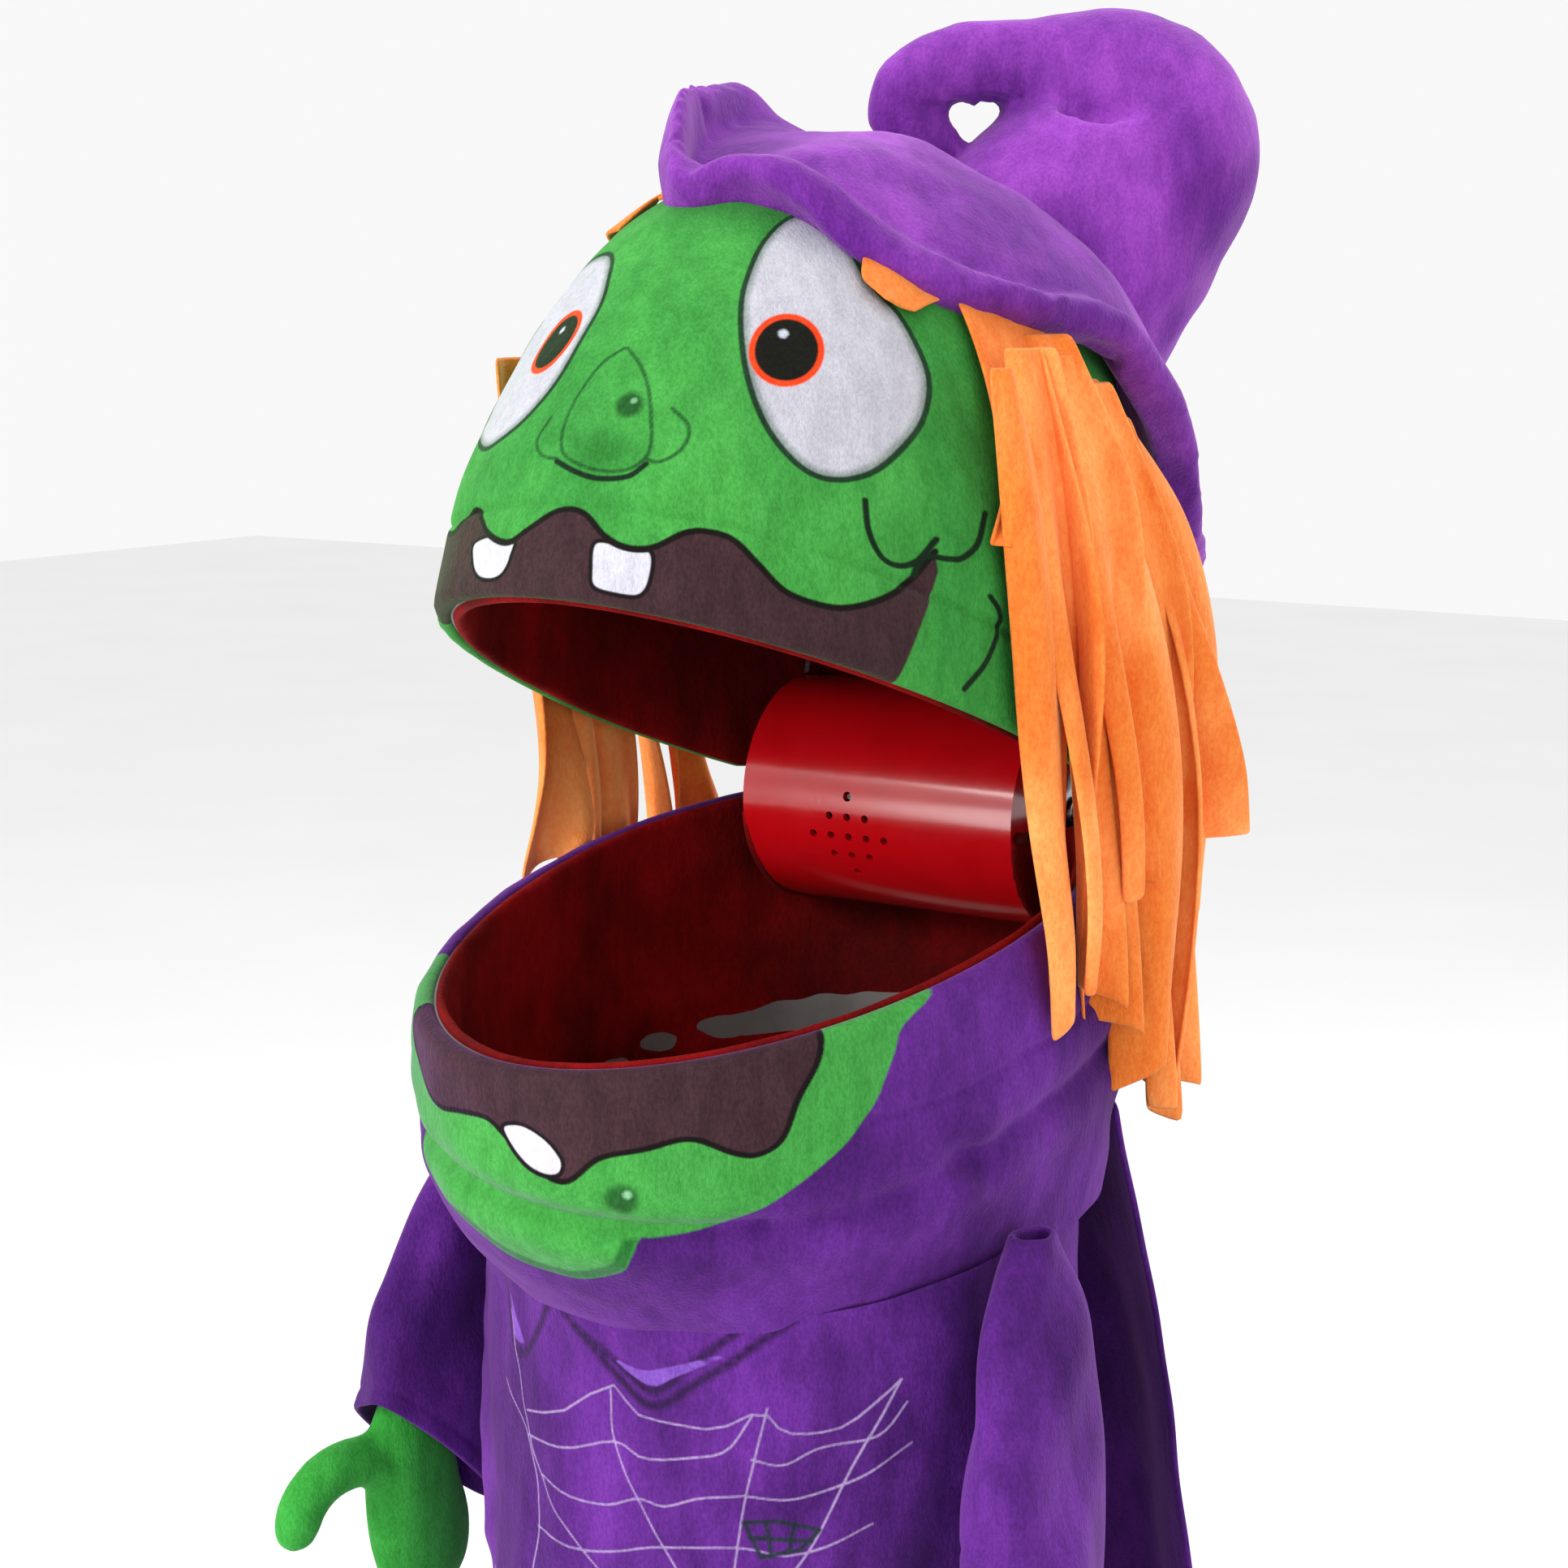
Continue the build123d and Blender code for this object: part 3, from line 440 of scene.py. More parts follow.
def head_cover():
    low = head_low_edge(HEAD_TURNS)
    fine = np.concatenate([np.arange(4.5, 94, 0.85), np.linspace(94, 198, 64)])
    outer = columns(low + 4.5, np.full(len(HEAD_TURNS), 198.0), (fine - 4.5) / 193.5)
    heights = np.concatenate([np.array([[h] for h, _ in LIP]) + low[None, :], outer])
    grow = np.array([g for _, g in LIP] + [0.0] * len(outer))
    points = egg_grid(HEAD_RINGS, heights, HEAD_TURNS, grow)
    u, v = flat_uv(HEAD_TURNS, heights)
    seam = np.exp(-((v - 31 - 2 * np.sin(u / 40)) / 1.6) ** 2) * (grow[:, None] == 0)
    soft = 0.9 * waves(points, 62, 3) + 0.5 * waves(points, 23, 4) - 1.3 * seam
    corner = np.exp(-((u - 112) / 9) ** 2 - ((v - 42) / 13) ** 2)
    soft = (soft - 3.0 * corner) * step(grow, -3, 0)[:, None]
    turn = np.radians(HEAD_TURNS)[None, :]
    points[..., 0] += soft * np.sin(turn)
    points[..., 1] -= soft * np.cos(turn)
    world = hug_housing(tilted(points, HEAD_TILT), 46.8)
    obj = build("head_plush", world, wrap=True, caps=(False, True))
    near_eye = through(in_mm(((25, 152), (35, 145), (42, 131), (49, 121), (54, 106), (54.5, 90), (52, 76),
            (48, 63), (43, 57), (38, 58),
                              (32, 68), (27, 83), (23, 102), (21, 118), (21, 137))), 90, True)
    far_eye = through(in_mm(((-15, 128), (-25, 128), (-33, 116), (-37, 100), (-37, 82), (-34, 67), (-29, 58),
            (-23, 52), (-17.5, 53),
                             (-11.6, 60), (-7, 75), (-6, 93), (-8, 112))), 90, True)
    eyes = np.minimum(shape_distance(u, v, near_eye), shape_distance(u, v, far_eye))
    mark(obj, "eye", eyes)
    mark(obj, "eye_inner", eyes + 2.6)
    pupils = np.minimum(np.hypot(u - 31.4 * MM_PER_DEGREE, (v - 96.7) * 0.86) - 11.6,
            np.hypot(u + 14.2 * MM_PER_DEGREE, (v - 91) * 0.86) - 11.2)
    shine = np.minimum(np.hypot(u - 30.2 * MM_PER_DEGREE, v - 102) - 1.7, np.hypot(u + 14.8 * MM_PER_DEGREE,
            v - 96) - 1.5)
    mark(obj, "ring", pupils)
    mark(obj, "core", pupils + 1.9)
    mark(obj, "shine", shine)
    upper = through(in_mm(((-46, 44), (-43, 33), (-37, 30), (-33, 26), (-27, 24), (-20, 30), (-13.7, 21),
            (-7.3, 17), (-3, 21), (3, 28),
                           (7.5, 28), (12, 21.5), (16, 19), (20, 20.6), (24, 27), (27, 29.3), (31, 28.8),
                           (35.4, 23), (40, 17),
                           (45, 16), (49.5, 18.5), (54.3, 26), (57.5, 35), (60, 46))), 140)
    band = list(map(tuple, upper)) + in_mm(((61, 40), (60.6, 29), (59.4, 14), (57.5, -8), (-44, -8), (-46,
            20)))
    mouth = shape_distance(u, v, band)
    mark(obj, "mouth", mouth)
    mark(obj, "mouth_line", line_distance(u, v, upper) - 1.0)
    teeth = np.minimum(
        shape_distance(u, v, through(in_mm(((-17, 18.5), (-6.2, 19.5), (-5.6, 12), (-7, 6.3), (-10, 4.6),
                (-14, 6), (-16.6, 11))), 50, True)),
        shape_distance(u, v, through(in_mm(((10.6, 19), (15, 19.5), (19.8, 19), (20.6, 10), (19.6, 4.6),
                (16.6, 3.4), (12.2, 4.4), (11, 10))), 50, True)))
    mark(obj, "teeth", np.maximum(teeth, mouth + 0.6))
    thin = [through(in_mm(p), 40) for p in (
        ((4.6, 87), (1.2, 80), (-0.8, 68), (-0.8, 56), (0.8, 47.5), (4.4, 44), (8.5, 42.6), (13.2, 44.4),
        (15.7, 51), (14.4, 62),
         (12, 73), (9, 81), (5.2, 87)),
        ((-4.6, 60), (-5.8, 51.5), (-3.6, 46.4), (0, 45)),
        ((17, 67.5), (20.6, 62), (20.6, 54), (18, 48.6), (15.2, 48.6)))]
    bold = [through(in_mm(p), 40) for p in (
        ((48, 53.5), (49.5, 44), (52, 37.6), (55, 37), (57.8, 41), (59.8, 50)),
        ((57.6, 36), (58.6, 43), (62, 45), (64, 47), (66, 54), (66.4, 65)),
        ((69.5, 38.5), (71.5, 35), (72.2, 30), (71.3, 17.5), (68.8, 6)),
        ((0, 44.4), (4.4, 41.2), (8.6, 39.9), (13.4, 42), (15.8, 47)))]
    mark(obj, "thin_line", np.minimum.reduce([line_distance(u, v, p) for p in thin]) - 0.6)
    mark(obj, "bold_line", np.minimum.reduce([line_distance(u, v, p) for p in bold]) - 0.95)
    wart = np.hypot(u - 9.8 * MM_PER_DEGREE, v - 66.4)
    mark(obj, "wart", wart - 4.6)
    mark(obj, "wart_glint", np.hypot(u - 10.4 * MM_PER_DEGREE, v - 68) - 1.1)
    nose = np.hypot((u - 8 * MM_PER_DEGREE) / 1.2, v - 48)
    mark(obj, "nose_shade", nose - 7)
    return obj


GREEN_PRINTS = (("nose_shade", "2F7F33", 9.0), ("thin_line", "225E2A", 0.5), ("wart", "235F29", 1.6),
        ("wart_glint", "84B98E", 0.6),
                ("eye", "8E9896", 0.5), ("eye_inner", "C3C2CB", 1.6), ("eye", "1F3F27", 0.4, 0.95), ("ring",
                "E8481C", 0.4),
                ("core", "15120F", 0.4), ("shine", "C8CDD8", 0.6), ("mouth", "442C32", 0.4), ("teeth",
                "CFCED8", 0.4),
                ("teeth", "1B1216", 0.35, 0.7), ("mouth_line", "17110F", 0.4), ("bold_line", "132B18", 0.4))
GREEN_LIGHT, GREEN_DARK, GREEN_SHEEN = "4DA84C", "3B923F", "86D283"
GREEN = plush("green_face", GREEN_LIGHT, GREEN_DARK, GREEN_SHEEN, GREEN_PRINTS, 0.25)
dress_up(head_cover(), "head", "green_plush", "head_cover", mat=GREEN, subdivide=0)


# ------------------------------------------------------------------ red linings
def lining(name, rings, tilt, low, rows, top):
    """Felt lining with a rolled edge; it runs from the rim to the far end of the hollow."""
    edge = ((1.5, -6.9), (-0.2, -7.4), (-0.4, -9.4), (1.2, -10.8))
    sign = 1 if tilt == HEAD_TILT else -1
    body = columns(low + 3 * sign, np.full(len(TURNS), top), rows)
    heights = np.concatenate([np.array([[h * sign] for h, _ in edge]) + low[None, :], body])
    grow = np.array([g for _, g in edge] + [-11.0] * rows)
    points = egg_grid(rings, heights, TURNS, grow)
    soft = (0.8 * waves(points, 48, 9) + 0.4 * waves(points, 17, 12)) * step(-grow, 8, 11)[:, None]
    turn = np.radians(TURNS)[None, :]
    points[..., 0] -= soft * np.sin(turn)
    points[..., 1] += soft * np.cos(turn)
    return build(name, hug_housing(tilted(points, tilt), 45.2), wrap=True, caps=(False, True))


RED = plush("red_felt", "9A0A0E", "5E0305", "D8443C", (), 0.2, 0.8)
dress_up(lining("head_felt", HEAD_RINGS, HEAD_TILT, head_low_edge(TURNS), 46, 176.0), "head", "red_plush",
        "head_lining", mat=RED)
BOWL = tuple((h, a + 11, f - 11, b + 11) for h, a, f, b in BOWL_RINGS)
dress_up(lining("bowl_felt", BOWL, JAW_TILT, np.zeros(len(TURNS)), 40, -94), "body", "red_plush",
        "bowl_lining", mat=RED)


# ------------------------------------------------------------------ chin and collar
def carve(obj, test):
    """Removes the faces whose middle passes the test, given in mm about the hinge."""
    mesh = obj.data
    centres = np.array([p.center for p in mesh.polygons]) * 1000 - HINGE
    keep = ~test(centres)
    faces = [tuple(p.vertices) for p, k in zip(mesh.polygons, keep) if k]
    values = {a.name: np.array([d.value for d in a.data]) for a in mesh.attributes if a.data_type == "FLOAT" and a.domain == "POINT"}
    fresh = bpy.data.meshes.new(mesh.name)
    fresh.from_pydata([tuple(v.co) for v in mesh.vertices], [], faces)
    obj.data = fresh
    for name, numbers in values.items():
        mark(obj, name, numbers)
    return smooth(obj)


def inside_housing(rel):
    drum = (np.hypot(rel[:, 1], rel[:, 2]) < 40) & (np.abs(rel[:, 0]) < 57)
    well = (np.abs(rel[:, 0] - 6) < 36) & (rel[:, 1] > 0) & (rel[:, 1] < 58) & (rel[:, 2] > -40) & (rel[:,
            2] < 10)
    return drum | well


def jaw_cover():
    lip = ((-5, -6.6), (-1.5, -6.2), (-0.3, -4.8), (0.0, -3.0), (-0.7, -1.2), (-2.6, -0.2))
    fine = np.concatenate([np.arange(4.5, 80, 0.9), np.linspace(80, 112, 16)])
    outer = columns(np.full(len(JAW_TURNS), -4.5), np.full(len(JAW_TURNS), -112.0), (fine - 4.5) / 107.5)
    heights = np.concatenate([np.array([[h] for h, _ in lip]) + 0 * JAW_TURNS[None, :], outer])
    grow = np.array([g for _, g in lip] + [0.0] * len(outer))
    points = egg_grid(JAW_RINGS, heights, JAW_TURNS, grow)
    u, v = flat_uv(JAW_TURNS, heights)
    out = step(grow, -3, 0)[:, None]
    crease = through(in_mm(((-60, -36), (-17, -45), (0, -48), (20, -54), (32, -58), (47, -62), (62, -61), (90,
            -56), (179, -56))), 60)
    crease_left = through(in_mm(((-60, -36), (-100, -48), (-179, -56))), 30)
    high_seam = through(in_mm(((55, -33), (70, -36), (90, -34), (179, -32))), 30)
    fold = np.minimum(line_distance(u, v, crease), line_distance(u, v, crease_left))
    deep = np.where(np.abs(u) < 75, 4.2, 2.4)
    soft = -deep * np.exp(-(fold / 4.2) ** 2) + 1.6 * np.exp(-((fold - 12) / 8) ** 2)
    soft -= 1.4 * np.exp(-(line_distance(u, v, high_seam) / 1.8) ** 2)
    pinch = np.exp(-((u - 132) / 10) ** 2) * np.exp(-((v + 62) / 16) ** 2)
    soft += 0.9 * waves(points, 52, 21) + 0.5 * waves(points, 20,
            22) + 3.0 * pinch * np.sin((u + v * 0.6) / 3.2)
    turn = np.radians(JAW_TURNS)[None, :]
    points[..., 0] += soft * out * np.sin(turn)
    points[..., 1] -= soft * out * np.cos(turn)
    obj = build("jaw_plush", tilted(points, JAW_TILT), wrap=True)
    chin = through(in_mm(((62, 8), (60.6, -8), (57.6, -21), (51.5, -35.5), (42.6, -47), (31, -57), (22, -58),
            (19.6, -58), (17.8, -64),
                          (14.8, -71), (7, -76.6), (0, -75), (-6, -71), (-12, -65), (-18, -60), (-30, -52),
                          (-39, -36), (-45, -20),
                          (-48, 8))), 150, True)
    green = shape_distance(u, v, chin)
    mark(obj, "green", green)
    mark(obj, "flap_edge", np.maximum(np.maximum(np.abs(green + 2.2) - 2.0, v + 58), u - 40))
    lower = through(in_mm(((-37, 6), (-34, -5), (-25, -17), (-18.5, -21), (-11.6, -19), (-5, -18), (-1, -23),
            (4.6, -31), (10, -35.6),
                           (16, -27.5), (24, -24.8), (30, -24), (35.4, -31), (38.7, -33), (42.3, -29), (45.4,
                           -17.4), (49, -7),
                           (50.4, 6))), 110)
    mouth = shape_distance(u, v, list(map(tuple, lower)))
    mark(obj, "mouth", mouth)
    mark(obj, "mouth_line", line_distance(u, v, lower) - 0.95)
    tooth = shape_distance(u, v, through(in_mm(((-1.6, -20), (1, -18), (4, -19), (7.4, -23), (9.6, -29), (9,
            -33.4), (6.6, -34),
                                                (3.2, -31.4), (0, -26))), 50, True))
    mark(obj, "teeth", tooth)
    mark(obj, "wart", np.hypot(u - 18.6 * MM_PER_DEGREE, v + 41.6) - 5.0)
    mark(obj, "wart_glint", np.hypot(u - 19.6 * MM_PER_DEGREE, v + 40) - 1.4)
    return carve(obj, inside_housing)


CHIN_PRINTS = (("green", "48A349", 0.5), ("flap_edge", "2A7A33", 1.0), ("wart", "27692C", 1.8), ("wart_glint",
        "8FC79A", 0.7),
               ("mouth", "442C32", 0.4), ("mouth_line", "17110F", 0.4), ("teeth", "D6D4DE", 0.4), ("teeth",
               "1B1216", 0.35, 0.75))
PURPLE_LIGHT, PURPLE_DARK, PURPLE_SHEEN = "70309A", "491A6C", "C488DC"
CHIN = plush("chin_and_collar", PURPLE_LIGHT, PURPLE_DARK, PURPLE_SHEEN, CHIN_PRINTS, 0.4)
dress_up(jaw_cover(), "body", "green_plush", "jaw_cover", mat=CHIN, subdivide=0)


# ------------------------------------------------------------------ dress
BODY_R = 112.0


def dress():
    fine = np.concatenate([np.arange(0, 0.63, 0.009), np.arange(0.63, 0.96, 0.00155), np.linspace(0.96, 1,
            8)])
    share = fine[:, None]
    turn = np.radians(DRESS_TURNS)[None, :]
    slope = math.tan(math.radians(JAW_TILT))
    top = 600 + (-103 / math.cos(math.radians(JAW_TILT))) + slope * (-BODY_R * np.cos(turn) - 105)
    z = 9 + (top - 9) * share
    radius = glide(z, (0, 8, 120, 250, 540), (BODY_R + 19, BODY_R + 17, BODY_R + 5, BODY_R - 1, BODY_R - 1))
    u, v = np.broadcast_to(DRESS_TURNS[None, :] * MM_PER_DEGREE, z.shape), z
    radius = radius + 5.0 * step(-z, -260, -20) * np.cos(13 * turn + 0.6 * np.sin(3 * turn)) * 0.6
    folds = 0
    for start, end, depth, width in (((118, 452), (72, 345), 3.2, 9), ((128, 448), (96, 330), 4.0, 10),
            ((140, 440), (128, 300), 3.2, 9),
                                     ((-128, 445), (-100, 340), 3.2, 10), ((-140, 440), (-128, 310), 3.0, 9),
                                     ((-20, 448), (60, 440), 1.6, 7)):
        folds = folds + depth * np.exp(-(line_distance(u, v, (start, end)) / width) ** 2)
    points = np.stack([radius * np.sin(turn), -radius * np.cos(turn), z], -1)
    radius = radius + (folds - 2.0) * step(z, 20, 200) * step(top - z, 0, 14) + 1.0 * waves(points, 75,
            31) + 0.5 * waves(points, 27, 32)
    points = np.stack([radius * np.sin(turn), -radius * np.cos(turn), z], -1)
    obj = build("dress_cloth", points, wrap=True)
    web = (((-33, 410), (-22.5, 396), (-18.6, 371), (-20.3, 348), (-24, 322)), ((-22.4, 405), (-11, 411),
            (1, 426), (6, 418), (14.6, 416), (22, 416), (29.8, 422.5),
           (34, 416), (39, 415), (45, 417), (50.4, 425), (55, 433)), ((1, 424), (1.7, 406), (6.7, 387),
           (16, 360), (24, 338)), ((31.2, 424), (29, 406.6), (27, 389), (25, 362), (24, 338)),
           ((-22.5, 396), (-10, 398), (1.7, 405.7), (8, 402), (17.6, 405), (24, 409), (28.4, 421)),
           ((28.4, 406), (34, 404), (40.3, 409.4), (50.4, 413.6), (56, 425)),
           ((-18, 384), (-7.9, 380.4), (0, 382), (6.7, 387), (12, 386), (19, 390.8), (27, 393)), ((27, 393),
           (36, 392), (46, 398), (57, 410)), ((55, 433), (46, 402), (38, 372), (24, 338)),
           ((-19, 364), (-8, 362), (2, 366), (11, 371), (26, 374), (36, 372), (50, 382)), ((-30, 440),
           (-18, 384), (4, 350), (24, 338)), ((-21, 346), (-6, 345), (10, 350), (24, 352)),
           ((-45, 330), (-10, 334), (24, 338), (50, 345), (70, 352)), ((24, 338), (20, 310), (10, 285)),
           ((24, 338), (40, 308), (52, 296)), ((24, 338), (-4, 312), (-22, 296)),
           ((-14, 306), (0, 304), (20, 310), (38, 310), (52, 318)), ((-24, 330), (-8, 326), (6, 322),
           (22, 324), (40, 326), (56, 334)))
    mark(obj, "web", np.minimum.reduce([line_distance(u, v, through(in_mm(p), 22)) for p in web]) - 0.4)
    # painted shadow: dark lines where the collar points cast shade on the dress
    dark = (((-11.6, 453), (1.9, 436), (10, 427), (18, 439), (32, 461)), ((-32, 448), (-28.6, 428),
            (-22, 427), (-12, 452)),
            ((-8, 449), (2, 431), (10, 421.5), (19.5, 433), (36, 456)))
    mark(obj, "collar_shadow_line", np.minimum.reduce([line_distance(u, v, through(in_mm(p),
            30)) for p in dark]) - 1.5)
    moons = np.minimum(shape_distance(u, v, through(in_mm(((1.5, 437), (5.6, 431.4), (10, 428.6), (14, 432.4),
            (24, 443), (13.6, 436.6), (9, 434), (5, 434.6))), 60, True)),
                       shape_distance(u, v, through(in_mm(((-30, 446), (-28.6, 434), (-27, 429), (-23.6, 429),
                        (-25, 433), (-27.6, 438))), 50, True)))
    mark(obj, "moon", moons)
    patch = (((27, 383.5), (33, 384), (40.5, 381), (37, 374), (30, 371), (27, 383.5)), ((28, 378), (39, 377)),
            ((31, 384), (32, 371)), ((36, 383), (35, 373)))
    mark(obj, "patch", np.minimum.reduce([line_distance(u, v, in_mm(p)) for p in patch]) - 0.75)
    return obj


# the first print is painted shadow under the collar points
DRESS_PRINTS = (("collar_shadow_line", "351A4C", 1.6), ("moon", "8455B8", 0.5), ("web", "A892BC", 0.35), ("patch",
        "26333A", 0.6))
DRESS = plush("dress_plush", PURPLE_LIGHT, PURPLE_DARK, PURPLE_SHEEN, DRESS_PRINTS, 0.4)
PURPLE = plush("purple_plush", PURPLE_LIGHT, PURPLE_DARK, PURPLE_SHEEN, (), 0.4)
HAT_PURPLE = plush("hat_plush", "A24CC0", "6E2894", "E0A8F0", (), 0.55)
gown = dress_up(dress(), "body", "purple_plush", "dress_body", mat=DRESS, subdivide=0)


# ------------------------------------------------------------------ stuffed pieces
def puff(obj, voxel, pressure, cap):
    """Remeshes a closed form, lets cloth under pressure swell it, and keeps the result within a cap in mm."""
    again = obj.modifiers.new("remesh", "REMESH")
    again.mode = "VOXEL"
    again.voxel_size = voxel / 1000
    rest = bpy.data.meshes.new_from_object(obj.evaluated_get(bpy.context.evaluated_depsgraph_get()))
    obj.modifiers.clear()
    obj.data = rest
    scene = bpy.context.scene
    cloth = obj.modifiers.new("cloth", "CLOTH")
    cloth.settings.use_pressure = True
    cloth.settings.uniform_pressure_force = pressure
    cloth.settings.effector_weights.gravity = 0
    cloth.settings.quality = 4
    cloth.settings.tension_stiffness = 12
    cloth.settings.compression_stiffness = 12
    cloth.settings.bending_stiffness = 0.6
    cloth.collision_settings.use_collision = False
    start = np.array([v.co for v in rest.vertices])
    for f in range(1, 21):
        scene.frame_set(f)
    grown = obj.evaluated_get(bpy.context.evaluated_depsgraph_get())
    move = np.array([v.co for v in grown.data.vertices]) - start
    length = np.linalg.norm(move, axis=1, keepdims=True) + 1e-9
    move *= np.minimum(1, cap / 1000 / length)
    obj.modifiers.clear()
    rest.vertices.foreach_set("co", (start + move).ravel())
    scene.frame_set(1)
    return smooth(obj)


# ------------------------------------------------------------------ hat
def swept(name, path, radii, around=96, caps=(True, True), shape=None):
    """Tube along a smooth path; shape(s, angle, radius) may change the radius."""
    path = np.asarray(path, float)
    tangent = np.gradient(path, axis=0)
    tangent /= np.linalg.norm(tangent, axis=1)[:, None]
    side = np.cross(tangent[0], (0.3, 0.9, 0.1))
    sides = []
    for t in tangent:
        side = side - t * (side @ t)
        side = side / np.linalg.norm(side)
        sides.append(side)
    sides = np.array(sides)
    other = np.cross(tangent, sides)
    angle = np.linspace(0, 2 * math.pi, around, endpoint=False)[None, :]
    length = np.concatenate([[0], np.cumsum(np.linalg.norm(np.diff(path, axis=0), axis=1))])[:, None]
    radius = np.asarray(radii, float)[:, None] + 0 * angle
    spread = np.cos(angle)[..., None] * sides[:, None, :] + np.sin(angle)[..., None] * other[:, None, :]
    if shape is not None:
        radius = shape(length, path[:, None, :] + spread * radius[..., None], spread, radius)
    return build(name, path[:, None, :] + spread * radius[..., None], wrap=True, caps=caps)


CROWN = ((2, 54, 186, 66), (12, 64, 203, 62), (27, 77, 226, 57), (41, 87, 249, 49), (38, 85, 268, 38), (21,
        71, 280, 28),
         (2, 56, 283, 20), (-16, 40, 282, 17), (-30, 27, 274.5, 16.5), (-34.5, 23.5, 263, 14), (-27, 29,
         255.5, 11), (-17, 38, 255.5, 7))
CURL = np.array((-1.0, 44.0, 262.0))


def points_of(obj):
    return np.array([v.co for v in obj.data.vertices]) * 1000


def push(obj, offsets):
    """Moves every point of a mesh by an offset in mm."""
    obj.data.vertices.foreach_set("co", ((points_of(obj) + offsets) / 1000).ravel())
    obj.data.update()


def crown():
    """Stuffed cone: swept along its curl, puffed, then gathered on the inside of the bend and seamed at the back."""
    line = through([p[:3] for p in CROWN], 150)
    radii = through([(p[3], 0) for p in CROWN], 150)[:, 0]
    obj = puff(swept("hat_cone", line + HINGE, radii - 2.5, 100), 4.0, 4.0, 5.0)
    points = points_of(obj) - HINGE
    nearest = np.argmin(np.linalg.norm(points[:, None] - line[None, ::3], axis=2), axis=1) * 3
    length = np.concatenate([[0], np.cumsum(np.linalg.norm(np.diff(line, axis=0), axis=1))])[nearest]
    out = points - line[nearest]
    out /= np.linalg.norm(out, axis=1, keepdims=True) + 1e-6
    to_curl = CURL - points
    away = np.linalg.norm(to_curl, axis=1)
    facing = np.clip((to_curl * out).sum(1) / away + 0.25, 0, 1)
    part = step(length, 45, 90) * step(-length, -235, -165)
    across = points[:, 0] * 0.75 + points[:, 1] * 0.66 - 30
    fan = np.arctan2(points[:, 2] - 258, across)
    gather = 3.0 * facing * part * np.exp(-((away - 12) / 34) ** 2) * np.cos(fan * 15)
    slack = 1.6 * waves(points, 68, 41) * step(length, 10, 60) + 0.6 * waves(points, 25, 42)
    seam = 2.0 * np.exp(-((points[:, 0] * 0.9 - 30 + 0.2 * (points[:, 2] - 230)) / 2.2) ** 2) * (points[:,
            1] > line[nearest, 1] + 10)
    push(obj, out * (slack - gather - seam * step(-length, -120, -60))[:, None])
    return obj


def hat_frame():
    tilt = Matrix.Rotation(math.radians(HEAD_TILT), 3, "X")
    turn = Matrix.Rotation(math.radians(-2), 3, "X") @ Matrix.Rotation(math.radians(14), 3, "Y")
    return np.array(tilt @ turn), tilted((0, -69, 178), HEAD_TILT)


# turn round the brim (0 the figure's left, -90 the front), height near its edge, how far the edge turns up, reach
BRIM = ((-180, 30, 4, 0.92), (-165, 33, 6, 0.90), (-150, 24, 14, 0.89), (-135, 4, 22, 0.90), (-120, -14, 28,
        0.94), (-105, -30, 28, 0.99),
        (-90, -36, 10, 1.04), (-80, -22, 3, 1.06), (-70, -20, 2, 1.08), (-60, -23, 1, 1.08), (-50, -25, 0,
        1.08), (-40, -24, 0, 1.08),
        (-30, -16, 0, 1.06), (-20, -8, 0, 1.02), (-10, -2, 0, 1.01), (0, -7, 0, 1.01), (15, -19, 0, 1.03),
        (30, -30, 0, 1.08), (45, -40, 0, 1.13),
        (60, -52, 0, 1.14), (75, -60, 0, 1.08), (90, -60, 0, 1.02), (105, -50, 0, 1.0), (120, -34, 0, 1),
        (135, -17, 0, 0.98),
        (150, 2, 0, 0.95), (165, 18, 2, 0.93), (180, 30, 4, 0.92))


def brim():
    """Stuffed brim: a padded ring, rounded at its edge, rolled up in front and drooping behind."""
    axes, origin = hat_frame()
    angle = np.linspace(-math.pi, math.pi, 200, endpoint=False)
    table = np.array(BRIM, float)
    edge, lift, reach = glide(np.degrees(angle), table[:, 0], table[:, 1:], False).T
    reach_x = np.where(np.cos(angle) > 0, 112, 108) * reach
    reach_v = np.where(np.sin(angle) < 0, 168, 148) * reach
    profile = [(0.30 + 0.64 * s, 1) for s in np.linspace(0, 1, 30)]
    profile += [(0.94 + 0.04 * math.cos(math.radians(a)), math.sin(math.radians(a))) for a in np.linspace(80,
            -80, 9)]
    profile += [(0.30 + 0.64 * s, -1) for s in np.linspace(1, 0, 30)]
    rows = []
    for ratio, face in profile:
        x, v = reach_x * ratio * np.cos(angle), reach_v * ratio * np.sin(angle)
        down = np.clip((ratio - 0.3) / 0.56, 0, 1) ** 1.8
        pinch = 5.5 + 1.0 * math.exp(-((ratio - 0.93) / 0.06) ** 2) - 1.5 * math.exp(-((ratio - 0.84) / 0.02) ** 2)
        w = 30 + (edge - 30) * down + lift * step(ratio, 0.80, 1.0) + pinch * face
        rows.append(np.stack([x, v, w], -1) @ axes.T + origin)
    obj = puff(build("hat_brim_padded", np.array(rows + rows[:1]), wrap=True), 4.0, 4.0, 4.0)
    points = points_of(obj)
    local = (points - origin) @ axes
    angle = np.arctan2(local[:, 1] / 158, local[:, 0] / 110)
    ratio = np.hypot(local[:, 0] / 110, local[:, 1] / 158)
    behind = step(ratio, 0.55, 0.95) * step(np.sin(angle), -0.3, 0.4)
    ripple = 3.5 * np.sin(6 * angle + 0.8) * behind + 1.2 * waves(points, 46, 51) + 0.5 * waves(points, 20,
            52)
    push(obj, ripple[:, None] * axes[:, 2][None, :])
    return obj


for maker, node in ((crown, "hat_crown"), (brim, "hat_brim")):
    piece = dress_up(maker(), "head", "purple_plush", node, mat=HAT_PURPLE)


